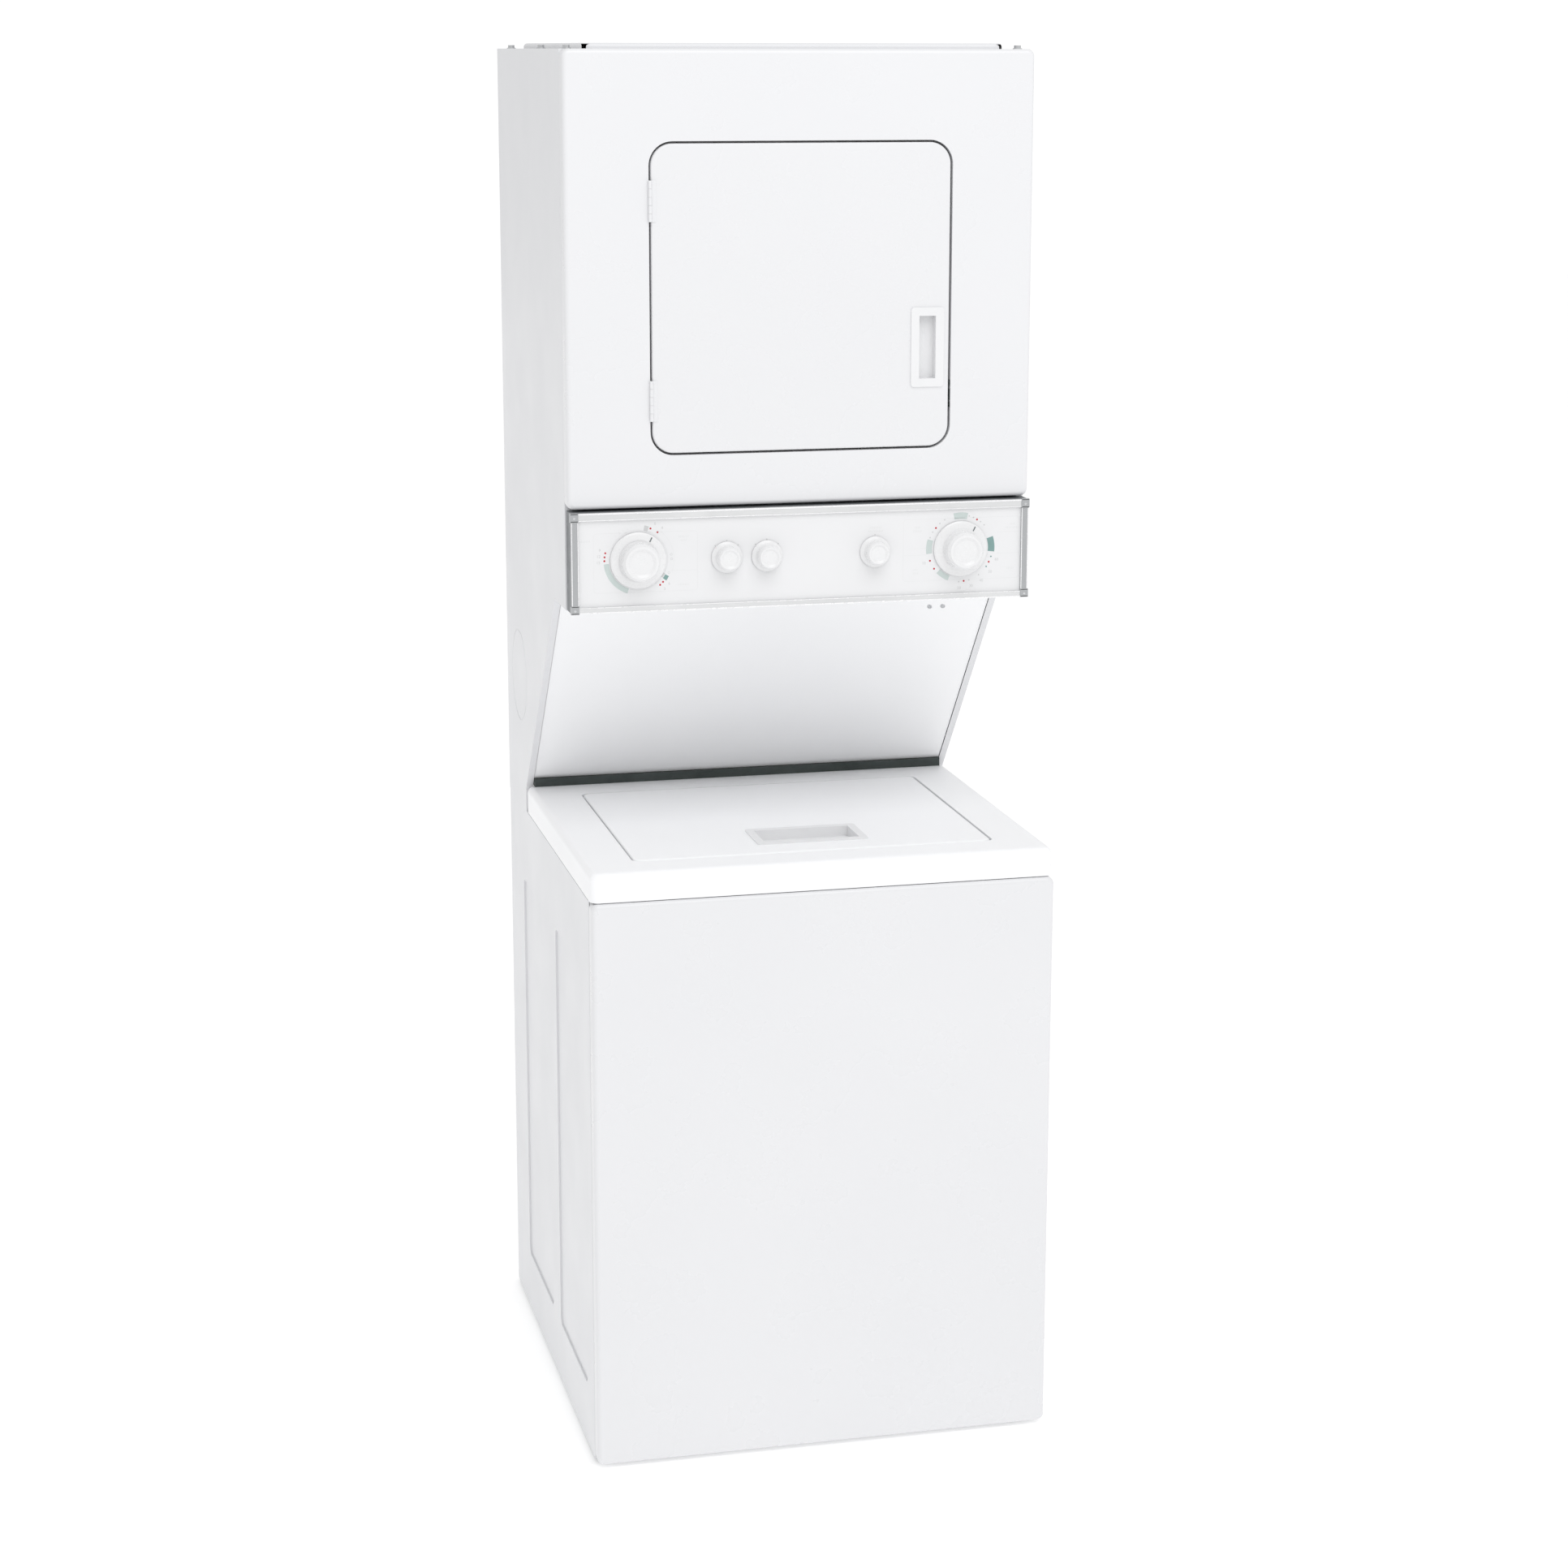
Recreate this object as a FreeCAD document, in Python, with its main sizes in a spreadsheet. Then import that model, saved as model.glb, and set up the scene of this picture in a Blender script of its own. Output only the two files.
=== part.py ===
import FreeCAD, Part
import math
import os
import Sketcher

# A washer with a tumble dryer fixed above it on a tapered stand.
# Millimetres.  +X is the machine's own left-to-right as a person faces it, +Y runs to the rear, +Z up.
# The origin is on the floor, in the middle of the width and of the whole depth.

Vector = FreeCAD.Vector
Rotation = FreeCAD.Rotation

SIZES = [
    ("width", 606, "outside width of both cabinets"),
    ("sheet", 1.2, "steel sheet"),
    ("washer_depth", 667, "rear wall to washer front face"),
    ("vent_reach", 33, "exhaust collar beyond the rear wall"),
    ("toe", 6, "floor to cabinet edge"),
    ("wrap_top", 758, "top edge of the washer cabinet"),
    ("washer_top", 796, "top face of the washer"),
    ("front_pan", 20, "depth of the washer front panel"),
    ("seam", 3, "gap between washer front panel and cabinet"),
    ("fit_gap", 0.3, "gap between neighbouring parts"),
    ("pin_gap", 0.05, "radial clearance of a pin or shaft"),
    ("emboss_depth", 2.5, "depth of the embossed side fields"),
    ("emboss_long", 210, "length of an embossed field"),
    ("emboss_low", 89, "lower edge of the embossed fields"),
    ("emboss_high", 652, "upper edge of the embossed fields"),
    ("emboss_first", 118, "rear wall to the first embossed field"),
    ("emboss_step", 267, "spacing of the embossed fields"),
    ("cover_depth", 662, "rear wall to the front of the top cover"),
    ("stand_foot", 152, "rear wall to the foot of the stand"),
    ("lid_half", 239, "half width of the lid recess"),
    ("lid_rear", 225, "rear wall to the rear of the lid recess"),
    ("lid_front", 608, "rear wall to the front of the lid recess"),
    ("lid_gap", 2.6, "gap around the lid"),
    ("lid_recess", 16, "depth of the lid recess"),
    ("lid_skin", 1.4, "lid sheet"),
    ("lid_pin_radius", 3, "hinge pin of the lid"),
    ("lid_handle_shift", 8, "handle centre from the middle"),
    ("lid_handle_long", 148, "lid handle plate, across"),
    ("lid_handle_deep", 81, "lid handle plate, front to rear"),
    ("lid_handle_front", 565, "rear wall to the front of the handle plate"),
    ("tub_centre", 375, "rear wall to the tub axis"),
    ("tub_radius", 255, "outer tub"),
    ("tub_wall", 2.5, "outer tub wall"),
    ("tub_low", 200, "underside of the outer tub"),
    ("tub_high", 690, "rim of the outer tub"),
    ("basket_radius", 228, "wash basket"),
    ("basket_wall", 1.2, "wash basket wall"),
    ("basket_low", 224, "underside of the wash basket"),
    ("basket_high", 668, "rim of the wash basket"),
    ("ring_inner", 188, "inner radius of the balance ring"),
    ("shaft_radius", 9, "agitator shaft"),
    ("pulley_radius", 75, "washer drive pulley"),
    ("motor_pulley_radius", 22, "washer motor pulley"),
    ("pulley_low", 84, "underside of the washer pulleys"),
    ("pulley_thick", 18, "thickness of the washer pulleys"),
    ("dryer_depth", 528, "rear wall to dryer front face"),
    ("dryer_pan", 22.5, "depth of the dryer front panel"),
    ("dryer_low", 1235, "lower edge of the dryer front"),
    ("dryer_high", 1803, "top of the dryer sides"),
    ("plateau", 7, "raised middle of the dryer top"),
    ("control_low", 1104, "lower edge of the control panel"),
    ("control_gap", 3, "gap above the control panel"),
    ("control_proud", 10, "control panel ahead of the dryer front"),
    ("slope_low", 790, "height where the stand starts to lean out"),
    ("slope_reach", 418, "rear wall to the top of the slope"),
    ("flange", 9, "folded edge of the side panels"),
    ("vent_height", 944.5, "exhaust centre above the floor"),
    ("vent_side", 108.6, "rear wall to the side vent centre"),
    ("vent_radius", 50.8, "four inch exhaust pipe"),
    ("vent_across", 110, "rear exhaust from the middle"),
    ("knockout_radius", 64, "side vent knock-out"),
    ("door_half", 196.2, "half width of the door recess"),
    ("door_low", 1301, "lower edge of the door recess"),
    ("door_high", 1691, "upper edge of the door recess"),
    ("door_corner", 30, "corner radius of the door recess"),
    ("door_gap", 2.7, "gap around the door"),
    ("door_recess", 24, "depth of the door recess"),
    ("ledge", 24, "width of the ledge round the throat"),
    ("throat_corner", 50, "corner radius of the throat"),
    ("door_thick", 18.5, "outer door pan"),
    ("hinge_proud", 2.1, "hinge axis ahead of the dryer face"),
    ("hinge_barrel", 2.2, "hinge barrel radius"),
    ("hinge_long", 51, "length of a door hinge"),
    ("hinge_pin_radius", 1.2, "door hinge pin"),
    ("hinge_upper", 1618, "centre of the upper door hinge"),
    ("hinge_lower", 1370, "centre of the lower door hinge"),
    ("drum_radius", 265, "dryer drum"),
    ("drum_rear", 75, "rear wall to the rear of the drum"),
    ("drum_front", 455, "rear wall to the front of the drum"),
    ("drum_lip", 232, "radius of the drum mouth"),
    ("motor_across", 60, "dryer motor axis from the middle"),
    ("motor_height", 1100, "dryer motor axis above the floor"),
    ("drum_pulley_radius", 14, "pulley on the dryer motor shaft"),
    ("idler_radius", 18, "belt idler"),
    ("belt_thick", 2, "dryer belt"),
    ("blower_radius", 78, "blower wheel"),
    ("filter_long", 212, "lint filter, across"),
    ("filter_tall", 108, "lint filter, height"),
    ("knob_height", 1170, "knob axes above the floor"),
    ("washer_timer_across", -215, "washer timer from the middle"),
    ("temp_across", -100, "temperature knob from the middle"),
    ("load_across", -47.5, "load knob from the middle"),
    ("start_across", 95.5, "start knob from the middle"),
    ("dryer_timer_across", 210, "dryer timer from the middle"),
    ("dial_radius", 36, "timer dial"),
    ("grip_radius", 25.5, "timer knob"),
    ("knob_radius", 15.5, "small knob"),
    ("skirt_radius", 20, "skirt of a small knob"),
    ("timer_reach", 29, "timer knob beyond the face plate"),
    ("knob_reach", 21, "small knob beyond the face plate"),
    ("timer_shaft", 6, "timer knob shaft radius"),
    ("knob_shaft", 4, "small knob shaft radius"),
    ("foot_radius", 19, "levelling foot"),
    ("inlet_radius", 13.2, "three quarter inch hose thread"),
    ("hose_radius", 13, "drain hose"),
]

document = FreeCAD.newDocument("washer_dryer_stack")
sheet = document.addObject("Spreadsheet::Sheet", "dims")
nodes = {}


class Size:
    """A length that knows its value and the sheet formula that gives it."""

    def __init__(self, text, value):
        self.text = text
        self.value = float(value)

    def __add__(self, other):
        return Size("(%s + %s)" % (self.text, formula(other)), self.value + number(other))

    def __radd__(self, other):
        return Size("(%s + %s)" % (formula(other), self.text), number(other) + self.value)

    def __sub__(self, other):
        return Size("(%s - %s)" % (self.text, formula(other)), self.value - number(other))

    def __rsub__(self, other):
        return Size("(%s - %s)" % (formula(other), self.text), number(other) - self.value)

    def __mul__(self, other):
        return Size("(%s * %s)" % (self.text, formula(other)), self.value * number(other))

    __rmul__ = __mul__

    def __truediv__(self, other):
        return Size("(%s / %s)" % (self.text, formula(other)), self.value / number(other))

    def __neg__(self):
        return Size("(-1 * %s)" % self.text, -self.value)


def formula(size):
    return size.text if isinstance(size, Size) else repr(float(size))


def number(size):
    return size.value if isinstance(size, Size) else float(size)


def root_of(size):
    return Size("sqrt(%s)" % size.text, math.sqrt(size.value))


def fill_sheet():
    """Write the driving sizes to the sheet and hand them back by name."""
    sizes = {}
    for row, (alias, value, meaning) in enumerate(SIZES, start=1):
        sheet.set("A%d" % row, meaning)
        sheet.set("B%d" % row, str(value))
        sheet.setAlias("B%d" % row, alias)
        sizes[alias] = Size("dims." + alias, value)
    document.recompute()
    return sizes


d = fill_sheet()

# Places that many parts share.
HALF = d["width"] / 2
INSIDE = HALF - d["sheet"]
REAR = (d["washer_depth"] - d["vent_reach"]) / 2
DOOR_MID = (d["door_low"] + d["door_high"]) / 2
CONTROL_TOP = d["dryer_low"] - d["control_gap"]
SLOPE = (d["slope_reach"] - d["stand_foot"]) / (d["control_low"] - d["slope_low"])
LEAN = root_of(1 + SLOPE * SLOPE)
FACE = d["dryer_depth"] + d["control_proud"] - 3
CORD_ACROSS = -190
CORD_HEIGHT = 905
FILTER_FRONT = d["dryer_depth"] - 31
HINGE_ACROSS = -1 * (d["door_half"] - d["door_gap"] * 0.45)
SIDES = (-1, 1)


def ahead(distance):
    """Y of a place that far in front of the rear wall."""
    return REAR - distance


def slope_at(height, inset=0):
    """Distance ahead of the rear wall of the stand's slope, moved back by an inset across the sheet."""
    return d["stand_foot"] + SLOPE * (height - d["slope_low"]) - LEAN * inset


# ---- Part primitives bound to the sheet ----

def place(item, x, y, z):
    for letter, size in (("x", x), ("y", y), ("z", z)):
        item.setExpression("Placement.Base." + letter, formula(size))


def block(name, low, high):
    """A box between two corners, each (x, distance ahead of the rear wall, z)."""
    item = document.addObject("Part::Box", name)
    item.setExpression("Length", formula(high[0] - low[0]))
    item.setExpression("Width", formula(high[1] - low[1]))
    item.setExpression("Height", formula(high[2] - low[2]))
    place(item, low[0], ahead(high[1]), low[2])
    return item


TURNS = {"x": Rotation(Vector(0, 1, 0), 90), "y": Rotation(Vector(1, 0, 0), 90), "z": Rotation()}


def rod(name, radius, axis, centre, start, end):
    """A cylinder along x, z, or y, which here runs ahead from the rear wall."""
    item = document.addObject("Part::Cylinder", name)
    item.setExpression("Radius", formula(radius))
    item.setExpression("Height", formula(end - start))
    item.Placement = FreeCAD.Placement(Vector(), TURNS[axis])
    if axis == "x":
        place(item, start, ahead(centre[0]), centre[1])
    elif axis == "y":
        place(item, centre[0], ahead(start), centre[1])
    else:
        place(item, centre[0], ahead(centre[1]), start)
    return item


def fuse(name, *shapes):
    item = document.addObject("Part::MultiFuse", name)
    item.Shapes = list(shapes)
    item.Refine = True
    return item


def cut(name, base, *tools):
    item = document.addObject("Part::Cut", name)
    item.Base = base
    item.Tool = tools[0] if len(tools) == 1 else fuse(name + "_tools", *tools)
    item.Refine = True
    return item


def group(name, *solids):
    item = document.addObject("Part::Compound", name)
    item.Links = list(solids)
    return item


def tube(name, outer, inner, axis, centre, start, end):
    wall = rod(name + "_wall", outer, axis, centre, start, end)
    bore = rod(name + "_bore", inner, axis, centre, start - 1, end + 1)
    return cut(name, wall, bore)


def node(name, item):
    """Name a finished sub-part."""
    item.Label = name
    nodes[name] = item
    return item


# ---- PartDesign bodies bound to the sheet ----

PLANES = {"x": "YZ_Plane", "y": "XZ_Plane", "z": "XY_Plane"}


def new_body(name):
    return document.addObject("PartDesign::Body", name)


def new_sketch(body, name, plane, lift=None):
    drawing = body.newObject("Sketcher::SketchObject", name)
    role = PLANES[plane]
    origin_plane = [item for item in body.Origin.OriginFeatures if item.Role == role][0]
    drawing.AttachmentSupport = [(origin_plane, "")]
    drawing.MapMode = "FlatFace"
    if lift is not None:
        drawing.setExpression("AttachmentOffset.Base.z", formula(lift))
    return drawing


def draw_outline(drawing, points):
    """Closed outline of straight edges, each corner held from the origin by two bound distances."""
    first = drawing.GeometryCount
    spots = [Vector(number(x), number(y), 0) for x, y in points]
    for index, spot in enumerate(spots):
        drawing.addGeometry(Part.LineSegment(spot, spots[(index + 1) % len(spots)]), False)
    for index, (x, y) in enumerate(points):
        following = first + (index + 1) % len(points)
        drawing.addConstraint(Sketcher.Constraint("Coincident", first + index, 2, following, 1))
        for kind, size in (("DistanceX", x), ("DistanceY", y)):
            held = drawing.addConstraint(Sketcher.Constraint(kind, -1, 1, first + index, 1, number(size)))
            drawing.setExpression("Constraints[%d]" % held, formula(size))


def extrude(name, axis, points, start, end):
    """A body with one pad: outline in the plane across the axis, from start to end along it.

    Along y the outline is (x, z) and start and end are distances ahead of the rear wall.
    """
    body = new_body(name)
    lift = start - REAR if axis == "y" else start
    drawing = new_sketch(body, name + "_outline", axis, lift)
    draw_outline(drawing, points)
    pad = body.newObject("PartDesign::Pad", name + "_pad")
    pad.Profile = drawing
    pad.setExpression("Length", formula(end - start))
    drawing.Visibility = False
    return body


def rectangle(low, high):
    return [(low[0], low[1]), (high[0], low[1]), (high[0], high[1]), (low[0], high[1])]


def round_off(body, radius, picks):
    """Fillet the body's edges that the picking function takes."""
    document.recompute()
    base = body.Tip
    names = ["Edge%d" % (i + 1) for i, edge in enumerate(base.Shape.Edges) if picks(edge)]
    fillet = body.newObject("PartDesign::Fillet", body.Name + "_round%d" % len(body.Group))
    fillet.Base = (base, names)
    fillet.setExpression("Radius", formula(radius))
    return body


def runs_along(axis):
    """Picks straight edges parallel to an axis."""
    direction = {"x": Vector(1, 0, 0), "y": Vector(0, 1, 0), "z": Vector(0, 0, 1)}[axis]

    def picks(edge):
        if edge.Curve.TypeId != "Part::GeomLine":
            return False
        return abs(edge.tangentAt(edge.FirstParameter).dot(direction)) > 0.999
    return picks


def lies_at(axis, size):
    """Picks edges that lie in the plane across an axis at a place."""
    letter = {"x": "X", "y": "Y", "z": "Z"}[axis]

    def picks(edge):
        box = edge.BoundBox
        low = getattr(box, letter + "Min")
        high = getattr(box, letter + "Max")
        return abs(low - number(size)) < 0.01 and abs(high - number(size)) < 0.01
    return picks


def rounded(name, axis, low, high, start, end, corner, rim=None, rim_place=None):
    """A rectangular slab across an axis, its corners rounded and, if asked, the rim of one face."""
    body = extrude(name, axis, rectangle(low, high), start, end)
    round_off(body, corner, runs_along(axis))
    if rim is not None:
        place_of_rim = ahead(rim_place) if axis == "y" else rim_place
        round_off(body, rim, lies_at(axis, place_of_rim))
    return body


def pan(name, axis, low, high, start, end, corner, rim, skin):
    """A hollow pan: rounded slab whose face is at the end, emptied from the start side to an even skin."""
    outer = rounded(name + "_outer", axis, low, high, start, end, corner, rim, end)
    inner_low = (low[0] + skin, low[1] + skin)
    inner_high = (high[0] - skin, high[1] - skin)
    room = rounded(name + "_room", axis, inner_low, inner_high, start - 1, end - skin, corner - skin,
                   rim - skin, end - skin)
    return cut(name + "_pan", outer, room)


def turned(name, points, centre, axis="z"):
    """A body turned from an outline of (radius, height).

    Upright, the centre is (x, distance ahead) and heights are above the floor.  With axis y the centre
    is (x, z) and heights are distances ahead of the rear wall.
    """
    body = new_body(name)
    drawing = new_sketch(body, name + "_outline", "y")
    draw_outline(drawing, points)
    turn = body.newObject("PartDesign::Revolution", name + "_turn")
    turn.Profile = drawing
    turn.ReferenceAxis = (drawing, ["V_Axis"])
    turn.Angle = 360
    drawing.Visibility = False
    body.Placement = FreeCAD.Placement(Vector(), TURNS[axis])
    if axis == "y":
        place(body, centre[0], REAR, centre[1])
    else:
        place(body, centre[0], ahead(centre[1]), 0)
    return body


def made(name, shape):
    """A feature whose shape Part's own functions made from the sheet's values."""
    item = document.addObject("Part::Feature", name)
    item.Shape = shape
    return item


# ---- washer cabinet ----

def washer_base():
    """Tray with a turned-down rim, a wide hole under the drive and a hole for each foot."""
    floor_high = d["toe"] + 16
    reach = d["washer_depth"] - d["front_pan"] - d["seam"] - 2 * d["sheet"]
    edge = INSIDE - d["fit_gap"]
    outer = block("base_outer", (-edge, d["sheet"] + d["fit_gap"], d["toe"] + 2), (edge, reach, floor_high))
    rim = d["sheet"] * 2
    hollow = block("base_hollow", (-edge + rim, rim * 2, d["toe"]),
                   (edge - rim, reach - rim, floor_high - d["sheet"]))
    window = rod("base_window", 95, "z", (0, d["tub_centre"]), d["toe"], floor_high + 1)
    holes = [rod("base_hole", 5.3, "z", spot, d["toe"], floor_high + 1) for spot in foot_spots()]
    node("washer_base", cut("base", outer, hollow, window, *holes))


def foot_spots():
    across = HALF - 45
    return [(side * across, spot) for side in SIDES for spot in (60, d["washer_depth"] - 75)]


def levelling_feet():
    plate_low = d["toe"] + 16 - d["sheet"]
    feet = []
    for spot in foot_spots():
        pad = rod("foot_pad", d["foot_radius"], "z", spot, 0, 5)
        neck = rod("foot_neck", 12, "z", spot, 5, 9)
        stem = rod("foot_stem", 5, "z", spot, 9, plate_low + 32)
        nut = rod("foot_nut", 9, "z", spot, plate_low - 8, plate_low)
        feet.append(fuse("foot", pad, neck, stem, nut))
    node("levelling_feet", group("feet", *feet))


def emboss_field(side, start):
    """The pressed-in field of a washer side: its backing and the hollow in front of it."""
    end = start + d["emboss_long"]
    face = side * HALF
    backs = side * (HALF - d["emboss_depth"])
    behind = backs - side * d["sheet"]
    beyond = face + side

    def slab(name, near, far, grow, corner):
        low, high = (near, far) if number(near) < number(far) else (far, near)
        field = rectangle((ahead(end + grow), d["emboss_low"] - grow),
                          (ahead(start - grow), d["emboss_high"] + grow))
        body = extrude(name, "x", field, low, high)
        return round_off(body, corner, runs_along("x"))

    backing = slab("emboss_back", face - side * d["sheet"] / 2, behind, d["sheet"], 13)
    hollow = slab("emboss_hollow", beyond, backs, 0, 12)
    return backing, hollow


def washer_cabinet():
    """Both sides and the rear in one folded sheet, with folded front and top edges."""
    front = d["washer_depth"] - d["front_pan"] - d["seam"]
    fold = 18
    outer = rounded("wrap_outer", "z", (-HALF, ahead(front)), (HALF, REAR), d["toe"], d["wrap_top"], 5)
    room = block("wrap_room", (-INSIDE, d["sheet"], 0), (INSIDE, front - d["sheet"],
                                                         d["wrap_top"] - d["sheet"]))
    mouth = block("wrap_mouth", (-INSIDE + fold, 20, 0), (INSIDE - fold, front + 1, d["wrap_top"] + 1))
    parts = []
    hollows = []
    for side in SIDES:
        for step in range(2):
            backing, hollow = emboss_field(side, d["emboss_first"] + step * d["emboss_step"])
            parts.append(backing)
            hollows.append(hollow)
    ports = [rod("wrap_port", d["inlet_radius"] + 2, "y", spot, -1, 5) for spot in inlet_spots()]
    ports.append(rod("wrap_drain", d["hose_radius"] + 2, "y", drain_spot(), -1, 5))
    shell = cut("wrap_shell", outer, room, mouth)
    node("washer_cabinet", cut("wrap", fuse("wrap_parts", shell, *parts), *hollows, *ports))


def inlet_spots():
    return [(d["vent_across"] + side * 30, d["tub_high"]) for side in SIDES]


def drain_spot():
    return -190, d["tub_high"] + 8


def washer_front_panel():
    """A pan with rounded corners that closes the front."""
    back = d["washer_depth"] - d["front_pan"]
    panel = pan("front", "y", (-HALF, d["toe"]), (HALF, d["wrap_top"]), back, d["washer_depth"], 9, 6,
                d["sheet"])
    node("washer_front_panel", panel)


def lid_opening(name, grow, low, high, corner):
    return rounded(name, "z", (-d["lid_half"] - grow, ahead(d["lid_front"] + grow)),
                   (d["lid_half"] + grow, ahead(d["lid_rear"] - grow)), low, high, corner)


def washer_top():
    """Top cover: a hollow pan with a sunk tray for the lid and the loading opening in its floor."""
    low = d["wrap_top"] + 1
    skin = 1.6
    rear = d["stand_foot"] + 4
    floor = d["washer_top"] - d["lid_recess"]
    cover = pan("cover", "z", (-HALF, ahead(d["cover_depth"])), (HALF, ahead(rear)), low, d["washer_top"],
                12, 9, skin)
    tray = lid_opening("cover_tray", skin, floor - skin, d["washer_top"] - skin / 2, 13)
    recess = lid_opening("cover_recess", 0, floor, d["washer_top"] + 1, 12)
    load = rounded("cover_load", "z", (-d["lid_half"] + 34, ahead(d["lid_front"] - 23)),
                   (d["lid_half"] - 34, ahead(d["lid_rear"] + 20)), floor - 5, floor + 5, 60)
    pins = rod("cover_pins", d["lid_pin_radius"], "x", lid_axis(), -d["lid_half"] - 5, d["lid_half"] + 5)
    plunger = rod("cover_plunger", 3.4, "z", lid_switch_spot(), floor - 5, floor + 5)
    shell = fuse("cover_shell", cover, tray)
    node("washer_top", cut("cover", shell, recess, load, pins, plunger))


def lid_axis():
    """The lid hinge axis as (distance ahead, height)."""
    return d["lid_rear"] + 11, d["washer_top"] - 6


def lid_switch_spot():
    return d["lid_half"] - 17, d["lid_front"] - 200


def washer_lid():
    """A shallow pan that lies in the tray, cut away behind the hinge and open for the handle cup."""
    gap = d["lid_gap"]
    high = d["washer_top"] + 0.8
    low = d["washer_top"] - d["lid_recess"] + 1
    skin = d["lid_skin"]
    sheet_pan = pan("lid", "z", (-d["lid_half"] + gap, ahead(d["lid_front"] - gap)),
                    (d["lid_half"] - gap, ahead(d["lid_rear"] + gap + 1)), low, high, 10, 3, skin)
    heel = block("lid_heel", (-d["lid_half"], d["lid_rear"], low - 1),
                 (d["lid_half"], d["lid_rear"] + 20, low + 5))
    bore = rod("lid_bore", d["lid_pin_radius"] + d["pin_gap"], "x", lid_axis(), -d["lid_half"],
               d["lid_half"])
    low_cup, high_cup = handle_box(9)
    cup = block("lid_cup_hole", (low_cup[0], low_cup[1], low - 1), (high_cup[0], high_cup[1], high + 1))
    node("washer_lid", cut("lid", sheet_pan, heel, bore, cup))


def handle_box(inset):
    """Corners of the lid handle plate moved in, as (x, distance ahead)."""
    half = d["lid_handle_long"] / 2 - inset
    front = d["lid_handle_front"] - inset
    rear = d["lid_handle_front"] - d["lid_handle_deep"] + inset
    return (d["lid_handle_shift"] - half, rear), (d["lid_handle_shift"] + half, front)


def lid_handle():
    """Plastic finger cup let into the lid, its plate lying on the lid."""
    top = d["washer_top"] + 0.8
    floor = d["washer_top"] - d["lid_recess"] + 3
    low, high = handle_box(0)
    plate = rounded("handle_plate", "z", (low[0], ahead(high[1])), (high[0], ahead(low[1])), top, top + 1.6,
                    5)
    cup_low, cup_high = handle_box(9)
    cup = block("handle_cup", (cup_low[0], cup_low[1], floor), (cup_high[0], cup_high[1], top + 0.5))
    well_low, well_high = handle_box(10.6)
    well = block("handle_well", (well_low[0], well_low[1], floor + 1.6),
                 (well_high[0], well_high[1], top + 3))
    node("lid_handle", cut("handle", fuse("handle_body", plate, cup), well))


def hinge_pins():
    """Two stub pins for the lid and one long pin in each door hinge."""
    axis = lid_axis()
    stub = d["lid_half"] - d["lid_gap"] - 4
    pins = [rod("lid_pin", d["lid_pin_radius"], "x", axis, -d["lid_half"] - 5, -stub),
            rod("lid_pin", d["lid_pin_radius"], "x", axis, stub, d["lid_half"] + 5)]
    half = d["hinge_long"] / 2
    for middle in (d["hinge_upper"], d["hinge_lower"]):
        pins.append(rod("door_pin", d["hinge_pin_radius"], "z", door_axis(), middle - half, middle + half))
    node("hinge_pins", group("pins", *pins))


def lid_switch_plunger():
    """Sprung plunger under the lid skin."""
    spot = lid_switch_spot()
    tip = d["washer_top"] + 0.8 - d["lid_skin"] - d["fit_gap"]
    stem = rod("lid_plunger_stem", 3, "z", spot, d["wrap_top"] - 6, tip)
    collar = rod("lid_plunger_collar", 5, "z", spot, d["wrap_top"] + 6, d["wrap_top"] + 9)
    node("lid_switch_plunger", fuse("lid_plunger", stem, collar))


def lid_switch_body():
    x, y = lid_switch_spot()
    low = d["wrap_top"] - 14
    high = d["washer_top"] - d["lid_recess"] - 1.6
    case = block("lid_switch_case", (x - 11, y - 14, low), (x + 11, y + 14, high))
    bore = rod("lid_switch_bore", 3.4, "z", (x, y), low + 3, high + 1)
    room = rod("lid_switch_room", 5.4, "z", (x, y), low + 8, high - 3)
    return cut("lid_switch", case, bore, room)


# ---- washer drive and tub ----

def outer_tub():
    """Tub with a drive hole in its floor, and the ring on its rim."""
    centre = (0, d["tub_centre"])
    wall = rod("tub_outside", d["tub_radius"], "z", centre, d["tub_low"], d["tub_high"])
    room = rod("tub_inside", d["tub_radius"] - d["tub_wall"], "z", centre, d["tub_low"] + 3,
               d["tub_high"] + 1)
    hole = rod("tub_hole", 20, "z", centre, d["tub_low"] - 1, d["tub_low"] + 10)
    node("outer_tub", group("tub_parts", cut("tub", wall, room, hole), tub_ring()))


def tub_ring():
    """Ring clipped over the rim of the tub, with a collar round the mouth."""
    rim = d["tub_radius"]
    top = d["tub_high"]
    mouth = d["ring_inner"] + 8
    outline = [(mouth, top), (rim, top), (rim, top - 14), (rim + 2.4, top - 14), (rim + 2.4, top + 2.5),
               (mouth + 2.5, top + 2.5), (mouth + 2.5, top + 20), (mouth, top + 20)]
    return turned("tub_ring_body", outline, (0, d["tub_centre"]))


def rod_spots():
    reach = d["tub_radius"] * 0.88
    return [(side * (d["tub_radius"] + 7),
             d["tub_centre"] + way * reach) for side in SIDES for way in SIDES]


def tub_lug(spot, low):
    """Lug fixed to the tub's wall, bored for its rod."""
    x, y = spot
    high = low + 12
    near, far = (110, x + 14) if number(x) > 0 else (x - 14, -110)
    slab = block("lug_slab", (near, y - 13, low), (far, y + 13, high))
    wall = rod("lug_wall", d["tub_radius"], "z", (0, d["tub_centre"]), low - 1, high + 1)
    eye = rod("lug_eye", 4.4, "z", spot, low - 1, high + 1)
    return cut("tub_lug", slab, wall, eye)


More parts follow.
